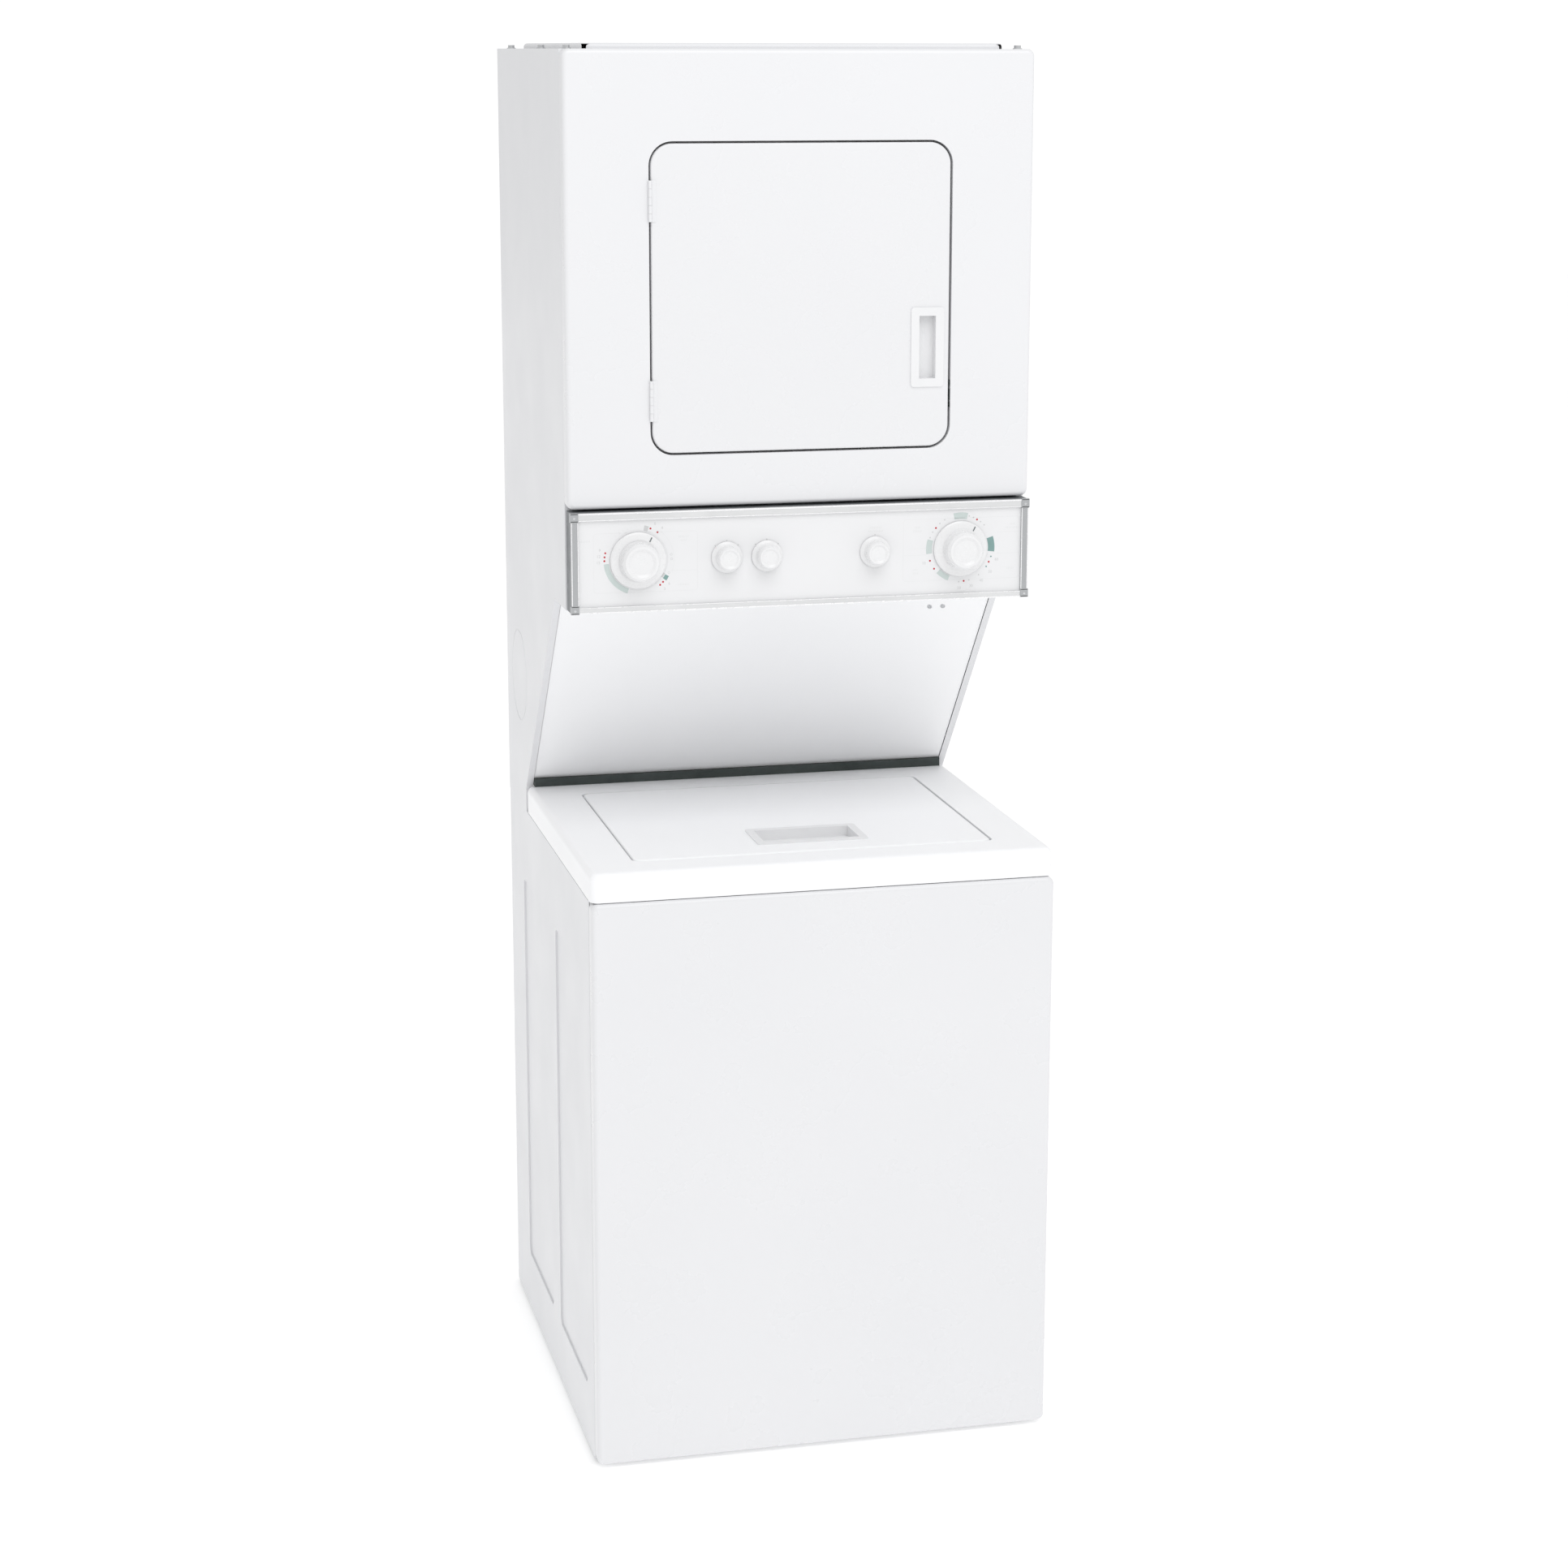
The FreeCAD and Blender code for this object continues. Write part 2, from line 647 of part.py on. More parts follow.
def suspension_rods():
    """Four rods, each with its damper cup below a lug of the tub and a ball under the top corner."""
    lug = d["tub_low"] + 50
    parts = []
    for spot in rod_spots():
        stem = rod("hanger_stem", 4, "z", spot, lug - 60, d["wrap_top"] - 6)
        cup = rod("hanger_cup", 15, "z", spot, lug - 70, lug - 0.5)
        head = rod("hanger_head", 9, "z", spot, d["wrap_top"] - 14, d["wrap_top"] - d["sheet"])
        parts += [fuse("hanger", stem, cup, head), tub_lug(spot, lug)]
    node("suspension_rods", group("hangers", *parts))


def wash_basket():
    radius = d["basket_radius"]
    wall = d["basket_wall"]
    low = d["basket_low"]
    hub = d["shaft_radius"] + d["fit_gap"]
    outline = [(hub, d["tub_low"] + 6), (hub + 6, d["tub_low"] + 6), (hub + 6, low), (radius - 20, low),
               (radius, low + 20), (radius, d["basket_high"]), (radius - wall, d["basket_high"]),
               (radius - wall, low + 20.6), (radius - 20.6, low + wall), (hub, low + wall)]
    node("wash_basket", turned("basket_body", outline, (0, d["tub_centre"])))


def balance_ring():
    outer = d["basket_radius"] - d["basket_wall"]
    inner = d["ring_inner"]
    rim = d["basket_high"]
    outline = [(inner, rim - 22), (outer, rim - 22), (outer, rim), (outer + 4, rim), (outer + 4, rim + 8),
               (outer - 4, rim + 16), (inner + 10, rim + 16), (inner, rim + 6)]
    node("balance_ring", turned("balance_ring_body", outline, (0, d["tub_centre"])))


def agitator_vane(index, side, *bodies):
    """One upright vane, turned to its quarter, that ends at the post and the skirt."""
    half = 4
    vane = extrude("vane_sheet", "y", side, REAR - half, REAR + half)
    vane.Placement = FreeCAD.Placement(Vector(), Rotation(Vector(0, 0, 1), 90 * index))
    place(vane, 0, ahead(d["tub_centre"]), 0)
    return cut("agitator_vane", vane, *bodies)


def agitator():
    """Skirt, cone and post with four vanes, the cap, and the shaft that carries them."""
    centre = (0, d["tub_centre"])
    low = d["basket_low"] + 8
    high = d["basket_high"] - 70
    seat = d["shaft_radius"]
    sleeve = seat + 6
    reach = d["basket_radius"] * 0.72
    cone_low = low + 26
    cone_high = low + 90
    levels = [("skirt", [(reach, low), (reach, low + 6), (96, cone_low)]),
              ("cone", [(96, cone_low), (62, cone_high)]), ("post", [(62, cone_high), (48, high)])]
    whole = [turned("agitator_" + name, [(seat, side[0][1])] + side + [(seat, side[-1][1])], centre)
             for name, side in levels]
    room = turned("agitator_room", [(sleeve, low - 1), (reach - 5, low - 1), (reach - 5, low + 3),
                                    (91, low + 23), (57, cone_high), (43, high - 4), (sleeve, high - 4)],
                  centre)
    tip = reach - 12
    side = [(20, low + 4), (tip, low + 4), (tip, low + 60), (90, low + 150), (50, low + 170),
            (20, low + 170)]
    parts = [agitator_vane(index, side, *whole) for index in range(4)]
    parts += [cut("agitator_shell", body, room) for body in whole]
    parts.append(rod("agitator_shaft", seat, "z", centre, d["tub_low"] - 50, low + 70))
    parts.append(turned("agitator_cap", [(0, high + 0.2), (44, high + 0.2), (46, high + 12),
                                         (40, high + 40), (26, high + 50), (0, high + 50)], centre))
    node("agitator", group("agitator_parts", *parts))


def gearcase():
    """Gear case hung from a plate under the tub, bored for the shafts above and below."""
    centre = (0, d["tub_centre"])
    low = d["pulley_low"] + d["pulley_thick"] + 8
    high = d["tub_low"]
    case = rod("gear_case", 62, "z", centre, low, high)
    plate = block("gear_plate", (-90, d["tub_centre"] - 235, high - 4), (235, d["tub_centre"] + 100, high))
    upper = rod("gear_upper", d["shaft_radius"] + d["fit_gap"], "z", centre, high - 52, high + 1)
    lower = rod("gear_lower", 8.3, "z", centre, low - 1, low + 24)
    node("gearcase", cut("gears", fuse("gear_solid", case, plate), upper, lower))


MOTOR_SHAFT = 7
MOTOR_SHAFT_LONG = 60


def motor_spot():
    """Centre of the washer motor as (x, distance ahead), behind and right of the gear case."""
    return 165, d["tub_centre"] - 160


BELT_SUNK = 5
RIM_THICK = 4


def grooved_wheel(radius, low, high, shaft, shaft_high):
    """Outline of a belt wheel with a shallow groove and its shaft above."""
    floor = radius - BELT_SUNK
    return [(0, low), (radius, low), (radius, low + RIM_THICK), (floor, low + RIM_THICK + 2),
            (floor, high - RIM_THICK - 2), (radius, high - RIM_THICK), (radius, high), (shaft, high),
            (shaft, shaft_high), (0, shaft_high)]


def washer_pulleys():
    low = d["pulley_low"]
    high = low + d["pulley_thick"]
    big = grooved_wheel(d["pulley_radius"], low, high, 8, high + 30)
    node("drive_pulley", turned("drive_pulley_body", big, (0, d["tub_centre"])))
    small = grooved_wheel(d["motor_pulley_radius"], low, high, MOTOR_SHAFT, high + MOTOR_SHAFT_LONG)
    node("washer_motor_pulley", turned("motor_pulley_body", small, motor_spot()))


def belt_loop(first, first_radius, second, second_radius, thick):
    """Flat face of a belt round two wheels, in the XY plane."""
    start = Vector(*[number(v) for v in first], 0)
    end = Vector(*[number(v) for v in second], 0)
    along = end - start
    heading = math.atan2(along.y, along.x)

    def outline(extra):
        one = number(first_radius) + extra
        two = number(second_radius) + extra
        spread = math.acos((one - two) / along.Length)

        def spot(centre, radius, turn):
            return centre + Vector(math.cos(heading + turn), math.sin(heading + turn), 0) * radius

        edges = [Part.LineSegment(spot(start, one, spread), spot(end, two, spread)).toShape(),
                 Part.Arc(spot(end, two, spread), spot(end, two, 0), spot(end, two, -spread)).toShape(),
                 Part.LineSegment(spot(end, two, -spread), spot(start, one, -spread)).toShape(),
                 Part.Arc(spot(start, one, -spread), spot(start, one, math.pi),
                          spot(start, one, spread)).toShape()]
        return Part.Face(Part.Wire(edges))

    return outline(number(thick)).cut(outline(0))


def washer_belt():
    """Belt in the grooves of the two pulleys, a little narrower than the groove floor."""
    sunk = BELT_SUNK - d["fit_gap"]
    edge = RIM_THICK + 2.5
    x, y = motor_spot()
    face = belt_loop((0, ahead(d["tub_centre"])), d["pulley_radius"] - sunk,
                     (x, ahead(y)), d["motor_pulley_radius"] - sunk, 4)
    belt = face.extrude(Vector(0, 0, number(d["pulley_thick"] - 2 * edge)))
    belt.translate(Vector(0, 0, number(d["pulley_low"] + edge)))
    node("washer_belt", made("washer_belt_body", belt))


def washer_motor():
    spot = motor_spot()
    low = d["pulley_low"] + d["pulley_thick"] + 6
    can = rod("motor_can", 58, "z", spot, low, d["tub_low"] - 4)
    bore = rod("motor_bore", MOTOR_SHAFT + d["fit_gap"], "z", spot, low - 1, low - 4 + MOTOR_SHAFT_LONG)
    node("washer_motor", cut("motor", can, bore))


def bent_tube(points, radius, bend):
    """A round tube along straight runs joined by tangent arcs."""
    spots = [Vector(*[number(v) for v in point]) for point in points]
    edges = []
    start = spots[0]
    for before, corner, after in zip(spots, spots[1:], spots[2:]):
        back = (before - corner).normalize()
        onward = (after - corner).normalize()
        half = back.getAngle(onward) / 2
        trim = bend / math.tan(half)
        first = corner + back * trim
        last = corner + onward * trim
        middle = corner + (back + onward).normalize() * (bend / math.sin(half) - bend)
        edges.append(Part.LineSegment(start, first).toShape())
        edges.append(Part.Arc(first, middle, last).toShape())
        start = last
    edges.append(Part.LineSegment(start, spots[-1]).toShape())
    path = Part.Wire(edges)
    ring = Part.Wire(Part.makeCircle(radius, spots[0], spots[1] - spots[0]))
    return path.makePipeShell([ring], True, False)


def pump_spot():
    return -110, 62


def drain_pump():
    x, y = pump_spot()
    low = d["toe"] + 16
    volute = rod("pump_volute", 42, "z", (x, y), low, low + 46)
    motor = rod("pump_motor", 30, "z", (x, y), low + 46, low + 110)
    inlet = rod("pump_inlet", 14, "y", (x, low + 25), y + 20, y + 56)
    outlet = rod("pump_outlet", 14, "x", (y, low + 25), x - 52, x - 30)
    node("drain_pump", fuse("pump", volute, motor, inlet, outlet))


def drain_hoses():
    """Sump hose from the tub to the pump, and the drain hose up the rear wall and out."""
    x, y = pump_spot()
    level = d["toe"] + 41
    radius = number(d["hose_radius"])
    end_x, end_z = drain_spot()
    out = [(x - 52, ahead(y), level), (end_x, ahead(y), level), (end_x, ahead(y), end_z),
           (end_x, REAR + 26, end_z)]
    sump_y = y + 56 + 60
    sump = [(x, ahead(y + 56), level), (x, ahead(sump_y), level), (x, ahead(sump_y), d["tub_low"])]
    hoses = [made("drain_hose", bent_tube(out, radius, 30)), made("sump_hose", bent_tube(sump, radius, 30))]
    node("drain_hoses", group("hoses", *hoses))


def water_valve():
    """Twin inlet valve with its two hose threads through the rear wall, and the fill hose to the tub."""
    middle = d["vent_across"]
    level = d["tub_high"]
    case = block("valve_case", (middle - 46, 3, level - 20), (middle + 46, 34, level + 22))
    coils = [block("valve_coil", (x - 14, 34, level - 16), (x + 14, 62, level + 16)) for x,
             z in inlet_spots()]
    threads = [rod("valve_thread", d["inlet_radius"], "y", spot, -20, 4) for spot in inlet_spots()]
    bores = [rod("valve_bore", 8.5, "y", spot, -21, 0) for spot in inlet_spots()]
    valve = cut("valve", fuse("valve_solid", case, *coils, *threads), *bores)
    hose_points = [(middle, ahead(20), level + 22), (middle, ahead(20), level + 45),
                   (middle, ahead(215), level + 45), (middle, ahead(215), level + 26)]
    hose = made("fill_hose", bent_tube(hose_points, 9, 15))
    node("water_valve", group("valve_parts", valve, hose))


# ---- stand and dryer cabinet ----

def stand_outline(inset):
    """Side outline as (distance ahead, height), moved in by the same inset all round."""
    foot = d["stand_foot"] - inset
    low = d["control_low"] + inset
    bend = d["slope_low"] + (LEAN * inset - inset) / SLOPE
    return [(inset, d["wrap_top"] + inset), (foot, d["wrap_top"] + inset), (foot, bend),
            (slope_at(low, inset), low), (d["dryer_depth"] - d["dryer_pan"] - inset, low),
            (d["dryer_depth"] - d["dryer_pan"] - inset, d["dryer_high"] - d["sheet"] - inset),
            (inset, d["dryer_high"] - d["sheet"] - inset)]


def side_slab(name, inset, near, far):
    points = [(ahead(distance), height) for distance, height in stand_outline(inset)]
    return extrude(name, "x", points, near, far)


def dryer_side(name, side):
    """One side of stand and dryer: a sheet with its edges folded in and a round vent knock-out."""
    near, far = (HALF - d["flange"], HALF) if side > 0 else (-HALF, -HALF + d["flange"])
    room_near, room_far = (HALF - d["flange"] - 1, INSIDE) if side > 0 else (-INSIDE,
                                                                             -HALF + d["flange"] + 1)
    slab = side_slab(name + "_slab", 0, near, far)
    room = side_slab(name + "_room", d["sheet"], room_near, room_far)
    centre = (d["vent_side"], d["vent_height"])
    groove_near, groove_far = (HALF - 0.5, HALF + 1) if side > 0 else (-HALF - 1, -HALF + 0.5)
    groove = tube(name + "_groove", d["knockout_radius"], d["knockout_radius"] - 1.4, "x", centre,
                  groove_near, groove_far)
    node(name, cut(name + "_cut", slab, room, groove))


def dryer_back_panel():
    """Rear sheet inside the side flanges, open for the exhaust and the cord."""
    edge = INSIDE - d["fit_gap"]
    low = d["wrap_top"] + d["sheet"] + d["fit_gap"]
    high = d["dryer_high"] - 2 * d["sheet"] - d["fit_gap"]
    panel = block("back_sheet", (-edge, d["sheet"], low), (edge, 2 * d["sheet"], high))
    vent = rod("back_vent", d["vent_radius"] + 2, "y", (d["vent_across"], d["vent_height"]), 0, 5)
    cord = rod("back_cord", 12, "y", (CORD_ACROSS, CORD_HEIGHT), 0, 5)
    node("dryer_back_panel", cut("back", panel, vent, cord))


def cord_gland():
    """Small cover box over the supply terminals, with the cord bushing in its rear face."""
    low = (-225, -14, 870)
    high = (-155, 0, 950)
    skin = 2
    spot = (CORD_ACROSS, CORD_HEIGHT)
    box = block("gland_box", low, high)
    room = block("gland_room", (low[0] + skin, low[1] + skin, low[2] + skin),
                 (high[0] - skin, 1, high[2] - skin))
    bushing = rod("gland_bushing", 8, "y", spot, low[1] - 6, low[1] + 6)
    bore = rod("gland_bore", 4.8, "y", spot, low[1] - 7, low[1] + 7)
    node("cord_gland", cut("gland", fuse("gland_body", cut("gland_shell", box, room), bushing), bore))


def sloped_panel():
    """Service panel across the slope, set just behind the side flanges, folded forward under the controls."""
    edge = HALF - d["flange"] - 0.7
    skin = d["sheet"]
    low = d["washer_top"] + 12
    high = d["control_low"] + skin + d["fit_gap"]
    front = 1.5
    back = front + skin
    reach = d["dryer_depth"] - d["dryer_pan"] - skin - d["fit_gap"]
    points = [(slope_at(low, front), low), (slope_at(high, front), high), (reach, high),
              (reach, high + skin),
              (slope_at(high + skin, back), high + skin), (slope_at(low, back), low)]
    outline = [(ahead(distance), height) for distance, height in points]
    node("sloped_panel", extrude("sloped_panel_body", "x", outline, -edge, edge))


def seal_strip():
    """Dark strip that closes the gap between washer top and stand."""
    edge = HALF - d["flange"] - 0.7
    front = slope_at(d["washer_top"] + 12, 1) + 5
    node("seal_strip", block("seal_block", (-edge, front - 14, d["washer_top"]),
                             (edge, front, d["washer_top"] + 11.7)))


def door_shape(name, grow, start, end, corner, rim=None, rim_place=None):
    """A slab as large as the door recess plus a margin, running ahead from start to end."""
    return rounded(name, "y", (-d["door_half"] - grow, d["door_low"] - grow),
                   (d["door_half"] + grow, d["door_high"] + grow), start, end, corner, rim, rim_place)


def dryer_front_panel():
    """A pan with the sunk door recess, whose floor is a ledge round the throat."""
    back = d["dryer_depth"] - d["dryer_pan"] + d["fit_gap"]
    face = d["dryer_depth"]
    skin = d["sheet"]
    high = d["dryer_high"]
    front = pan("face", "y", (-HALF, d["dryer_low"]), (HALF, high), back, face, 9, 6, skin)
    floor = face - d["door_recess"]
    tray = door_shape("face_tray", skin, floor - skin, face - skin / 2, d["door_corner"] + skin)
    recess = door_shape("face_recess", 0, floor, face + 1, d["door_corner"])
    throat = door_shape("face_throat", -d["ledge"], floor - 5, floor + 5, d["throat_corner"])
    slot = block("face_catch_slot", (catch_across() - 4, floor - 5, d["hinge_lower"] - 13),
                 (catch_across() + 4, floor + 5, d["hinge_lower"] + 13))
    button = rod("face_button", 3, "y", switch_spot(), floor - 5, floor + 5)
    shell = fuse("face_shell", front, tray)
    node("dryer_front_panel", cut("face", shell, recess, throat, slot, button))


def catch_across():
    return d["door_half"] - 11


def switch_spot():
    return d["door_half"] - 11, d["hinge_upper"] - 20


def dryer_top():
    """Top sheet with a raised middle and turned-down edges that rest on the sides."""
    low = d["dryer_high"] - d["sheet"]
    front = d["dryer_depth"] - d["dryer_pan"]
    flat = block("top_flat", (-HALF, 0, low), (HALF, front, d["dryer_high"]))
    raised = rounded("top_raised", "z", (-HALF + 30, ahead(front - 12)), (HALF - 30, ahead(32)), low,
                     d["dryer_high"] + d["plateau"], 14, rim=5, rim_place=d["dryer_high"] + d["plateau"])
    room = block("top_room", (-HALF + 32, 34, low - 1),
                 (HALF - 32, front - 14, d["dryer_high"] + d["plateau"] - d["sheet"]))
    node("dryer_top", cut("top", fuse("top_solid", flat, raised), room))


# ---- dryer door ----

def door_axis():
    """Hinge line of the door as (x, distance ahead)."""
    return HINGE_ACROSS, d["dryer_depth"] + d["hinge_proud"]


def door_outer():
    face = d["dryer_depth"]
    back = face - d["door_thick"]
    inset = d["door_gap"]
    outer = door_shape("door_pan", -inset, back, face, d["door_corner"] - inset, rim=2.5, rim_place=face)
    skin = d["sheet"]
    room = door_shape("door_room", -inset - skin, back - 1, face - skin, d["door_corner"] - inset - skin)
    low, high = door_cup(9)
    hole = block("door_cup_hole", (low[0], face - 5, low[1]), (high[0], face + 5, high[1]))
    node("door_outer", cut("door_skin", outer, room, hole))


def door_cup(inset):
    """Corners of the door handle plate moved in, as (x, z)."""
    return (143 + inset, 1380 + inset), (186 - inset, 1481 - inset)


def door_inner():
    """Liner that closes the door, with a hollow plug that enters the throat, and its strike plate."""
    back = d["dryer_depth"] - d["door_thick"]
    inset = d["door_gap"] + 2
    skin = 1.5
    sheet_part = door_shape("liner_sheet", -inset, back - skin, back, d["door_corner"] - inset)
    plug_inset = -d["ledge"] - 7
    plug = door_shape("liner_plug", plug_inset, back - 9.5, back, d["throat_corner"] - 7)
    room = door_shape("liner_room", plug_inset - skin, back - 9.5 + skin, back + 1,
                      d["throat_corner"] - 7 - skin)
    liner = cut("liner", fuse("liner_solid", sheet_part, plug), room)
    middle = d["hinge_lower"]
    x = catch_across()
    floor = d["dryer_depth"] - d["door_recess"]
    strike = block("strike_tongue", (x - 1, floor - 11, middle - 9), (x + 1, back - skin, middle + 9))
    node("door_inner", group("liner_parts", liner, strike))


def door_seal():
    """Gasket round the plug, just short of the ledge."""
    back = d["dryer_depth"] - d["door_thick"] - 1.5
    ledge = d["dryer_depth"] - d["door_recess"] + d["fit_gap"]
    ring = door_shape("seal_outer", -d["ledge"] + 7, ledge, back, d["throat_corner"] + 7)
    hole = door_shape("seal_inner", -d["ledge"] + 1, ledge - 1, back + 1, d["throat_corner"] + 1)
    node("door_seal", cut("door_seal_ring", ring, hole))


def door_handle():
    """Finger cup let into the door, with its plate on the skin."""
    face = d["dryer_depth"]
    low, high = door_cup(0)
    plate = rounded("grip_plate", "y", low, high, face, face + 1.8, 4)
    low, high = door_cup(9)
    cup = block("grip_cup", (low[0], face - 13, low[1]), (high[0], face + 0.5, high[1]))
    low, high = door_cup(10.6)
    well = block("grip_well", (low[0], face - 11.4, low[1]), (high[0], face + 3, high[1]))
    node("door_handle", cut("grip", fuse("grip_solid", plate, cup), well))


def knuckle(middle, index):
    """Low and high end of one of the five knuckles of a hinge."""
    step = d["hinge_long"] / 5
    low = middle - d["hinge_long"] / 2 + index * step
    return low + 0.15, low + step - 0.15


def hinge_frame_leaves():
    """Fixed leaves: a plate against the side of the recess with three knuckles each."""
    x, y = door_axis()
    wall = -d["door_half"]
    back = d["dryer_depth"] - 18
    leaves = []
    for middle in (d["hinge_upper"], d["hinge_lower"]):
        half = d["hinge_long"] / 2
        plate = block("frame_leaf", (wall, back, middle - half),
                      (wall + 0.9, d["dryer_depth"] - 0.4, middle + half))
        parts = [plate]
        for index in (0, 2, 4):
            low, high = knuckle(middle, index)
            barrel = rod("frame_barrel", d["hinge_barrel"], "z", (x, y), low, high)
            arm = block("frame_arm", (wall, d["dryer_depth"] - 0.5, low), (wall + 0.9, y, high))
            parts += [barrel, arm]
        bore = rod("frame_bore", d["hinge_pin_radius"], "z", (x, y), middle - half - 1, middle + half + 1)
        leaves.append(cut("frame_hinge", fuse("frame_leaf_solid", *parts), bore))
    node("hinge_frame_leaves", group("frame_leaves", *leaves))


def hinge_door_leaves():
    """Leaves on the door's face with two knuckles each."""
    x, y = door_axis()
    face = d["dryer_depth"]
    edge = x + d["hinge_barrel"] + d["fit_gap"]
    leaves = []
    for middle in (d["hinge_upper"], d["hinge_lower"]):
        half = d["hinge_long"] / 2
        parts = [block("door_leaf", (edge, face, middle - half), (edge + 5, face + 1, middle + half))]
        for index in (1, 3):
            low, high = knuckle(middle, index)
            parts.append(rod("door_barrel", d["hinge_barrel"], "z", (x, y), low, high))
            parts.append(block("door_arm", (x, face + 0.4, low), (edge + 1, face + 1, high)))
        bore = rod("door_bore", d["hinge_pin_radius"] + d["pin_gap"], "z", (x, y), middle - half - 1,
                   middle + half + 1)
        leaves.append(cut("door_hinge", fuse("door_leaf_solid", *parts), bore))
    node("hinge_door_leaves", group("door_leaves", *leaves))


def door_catch():
    """Sprung catch behind the ledge that grips the strike plate."""
    x = catch_across()
    floor = d["dryer_depth"] - d["door_recess"] - d["sheet"]
    middle = d["hinge_lower"]
    case = block("catch_case", (x - 7, floor - 16, middle - 17), (x + 7, floor, middle + 17))
    slot = block("catch_slot", (x - 3.5, floor - 14, middle - 12), (x + 3.5, floor + 1, middle + 12))
    node("door_catch", cut("catch", case, slot))


def door_switch_body():
    x, z = switch_spot()
    floor = d["dryer_depth"] - d["door_recess"] - d["sheet"]
    case = block("door_switch_case", (x - 8, floor - 20, z - 14), (x + 8, floor, z + 14))
    bore = rod("door_switch_bore", 3, "y", (x, z), floor - 17, floor + 1)
    return cut("door_switch", case, bore)


def door_switch_plunger():
    floor = d["dryer_depth"] - d["door_recess"] - d["sheet"]
    tip = d["dryer_depth"] - d["door_thick"] - 1.5 - d["fit_gap"]
    node("door_switch_plunger", rod("door_plunger", 2.6, "y", switch_spot(), floor - 12, tip))


# ---- drying drum and air path ----

def dryer_drum():
    """Drum with a closed rear, a narrowed mouth, a stub shaft at the rear and three baffles."""
    radius = d["drum_radius"]
    skin = d["sheet"]
    rear = d["drum_rear"]
    front = d["drum_front"]
    outline = [(0, rear - 30), (d["shaft_radius"], rear - 30), (d["shaft_radius"], rear),
               (radius - 6, rear),
               (radius, rear + 6), (radius, front), (d["drum_lip"], front), (d["drum_lip"], front - skin),
               (radius - skin, front - skin), (radius - skin, rear + 6.5), (radius - 6.5, rear + skin),
               (0, rear + skin)]
    body = turned("drum_body", outline, (0, DOOR_MID), "y")
    drawing = new_sketch(body, "baffle_outline", "z", rear + 20)
    inner = radius - 52
    outer = radius - skin / 2
    foot = 30
    crest = 14
    wall = 2
    root = root_of(outer * outer - foot * foot)
    draw_outline(drawing, [(-crest, inner), (crest, inner), (foot, root), (foot - wall, root),
                           (crest - wall, inner + wall), (wall - crest, inner + wall), (wall - foot, root),
                           (-foot, root)])
    shell = body.Tip
    pad = body.newObject("PartDesign::Pad", "baffle_pad")
    pad.Profile = drawing
    pad.setExpression("Length", formula(front - rear - 40))
    document.recompute()
    repeat = body.newObject("PartDesign::PolarPattern", "baffle_repeat")
    repeat.Originals = [pad]
    repeat.Axis = (shell.Profile[0], ["V_Axis"])
    repeat.Angle = 360
    repeat.Occurrences = 3
    body.Tip = repeat
    drawing.Visibility = False
    node("dryer_drum", body)


def front_bulkhead():
    """Wall behind the front panel with the throat collar and the pocket for the lint filter."""
    plate_back = FILTER_FRONT - 18
    edge = INSIDE - d["fit_gap"]
    skin = d["sheet"]
    collar_front = d["dryer_depth"] - d["door_recess"] - skin
    plate = block("bulkhead_plate", (-edge, plate_back - skin, d["dryer_low"] + skin + 1),
                  (edge, plate_back, d["dryer_high"] - 3))
    collar = door_shape("bulkhead_collar", -d["ledge"] + skin, d["drum_front"] - 8, collar_front,
                        d["throat_corner"] + skin)
    half = d["filter_long"] / 2
    low = d["door_low"] + d["ledge"] - d["filter_tall"]
    pocket = block("bulkhead_pocket", (-half - 4, plate_back, low - 4),
                   (half + 4, FILTER_FRONT + 2, low + 112))
    room = door_shape("bulkhead_room", -d["ledge"], d["drum_front"] - 9, collar_front + 1,
                      d["throat_corner"])
    slot = block("bulkhead_slot", (-half - 1.5, plate_back + 2, low - 2),
                 (half + 1.5, FILTER_FRONT, d["door_low"] + d["ledge"] + 5))
    node("front_bulkhead", cut("bulkhead", fuse("bulkhead_solid", plate, collar, pocket), room, slot))


def lint_filter():
    """Flat screen frame with a grip bar, in the pocket under the throat."""
    half = d["filter_long"] / 2
    low = d["door_low"] + d["ledge"] - d["filter_tall"]
    back = FILTER_FRONT - 14
    front = FILTER_FRONT - 2
    frame = block("filter_frame", (-half, back, low), (half, front, low + d["filter_tall"]))
    high = low + d["filter_tall"]
    grip = block("filter_grip", (-half + 20, back, high - 1), (half - 20, front, high + 9))
    windows = [block("filter_window", (x - 45, back - 1, low + 10), (x + 45, front + 1, high - 14))
               for x in (-52, 52)]
    mesh = block("filter_mesh", (-half + 6, back + 5, low + 8), (half - 6, back + 6, high - 12))
    node("lint_filter", fuse("filter", cut("filter_open", fuse("filter_solid", frame, grip), *windows),
                             mesh))


def rear_bulkhead():
    """Wall behind the drum with the bearing for the stub shaft, and the heater box behind it."""
    edge = INSIDE - d["fit_gap"]
    front = d["drum_rear"] - 14
    plate = block("rear_plate", (-edge, front - d["sheet"], d["dryer_low"] - 10),
                  (edge, front, d["dryer_high"] - 3))
    hub = rod("rear_hub", 22, "y", (0, DOOR_MID), d["drum_rear"] - 34, front)
    bore = rod("rear_bore", d["shaft_radius"] + d["pin_gap"], "y", (0, DOOR_MID), 30, front + 5)
    wall = cut("rear_wall", fuse("rear_solid", plate, hub), bore)
    box = block("heater_case", (-95, 5, DOOR_MID + 65), (95, front - d["sheet"], DOOR_MID + 205))
    room = block("heater_room", (-93, 7, DOOR_MID + 67), (93, front, DOOR_MID + 203))
    node("rear_bulkhead", group("rear_parts", wall, cut("heater", box, room)))


MOTOR_BACK = 96
MOTOR_LONG = 84


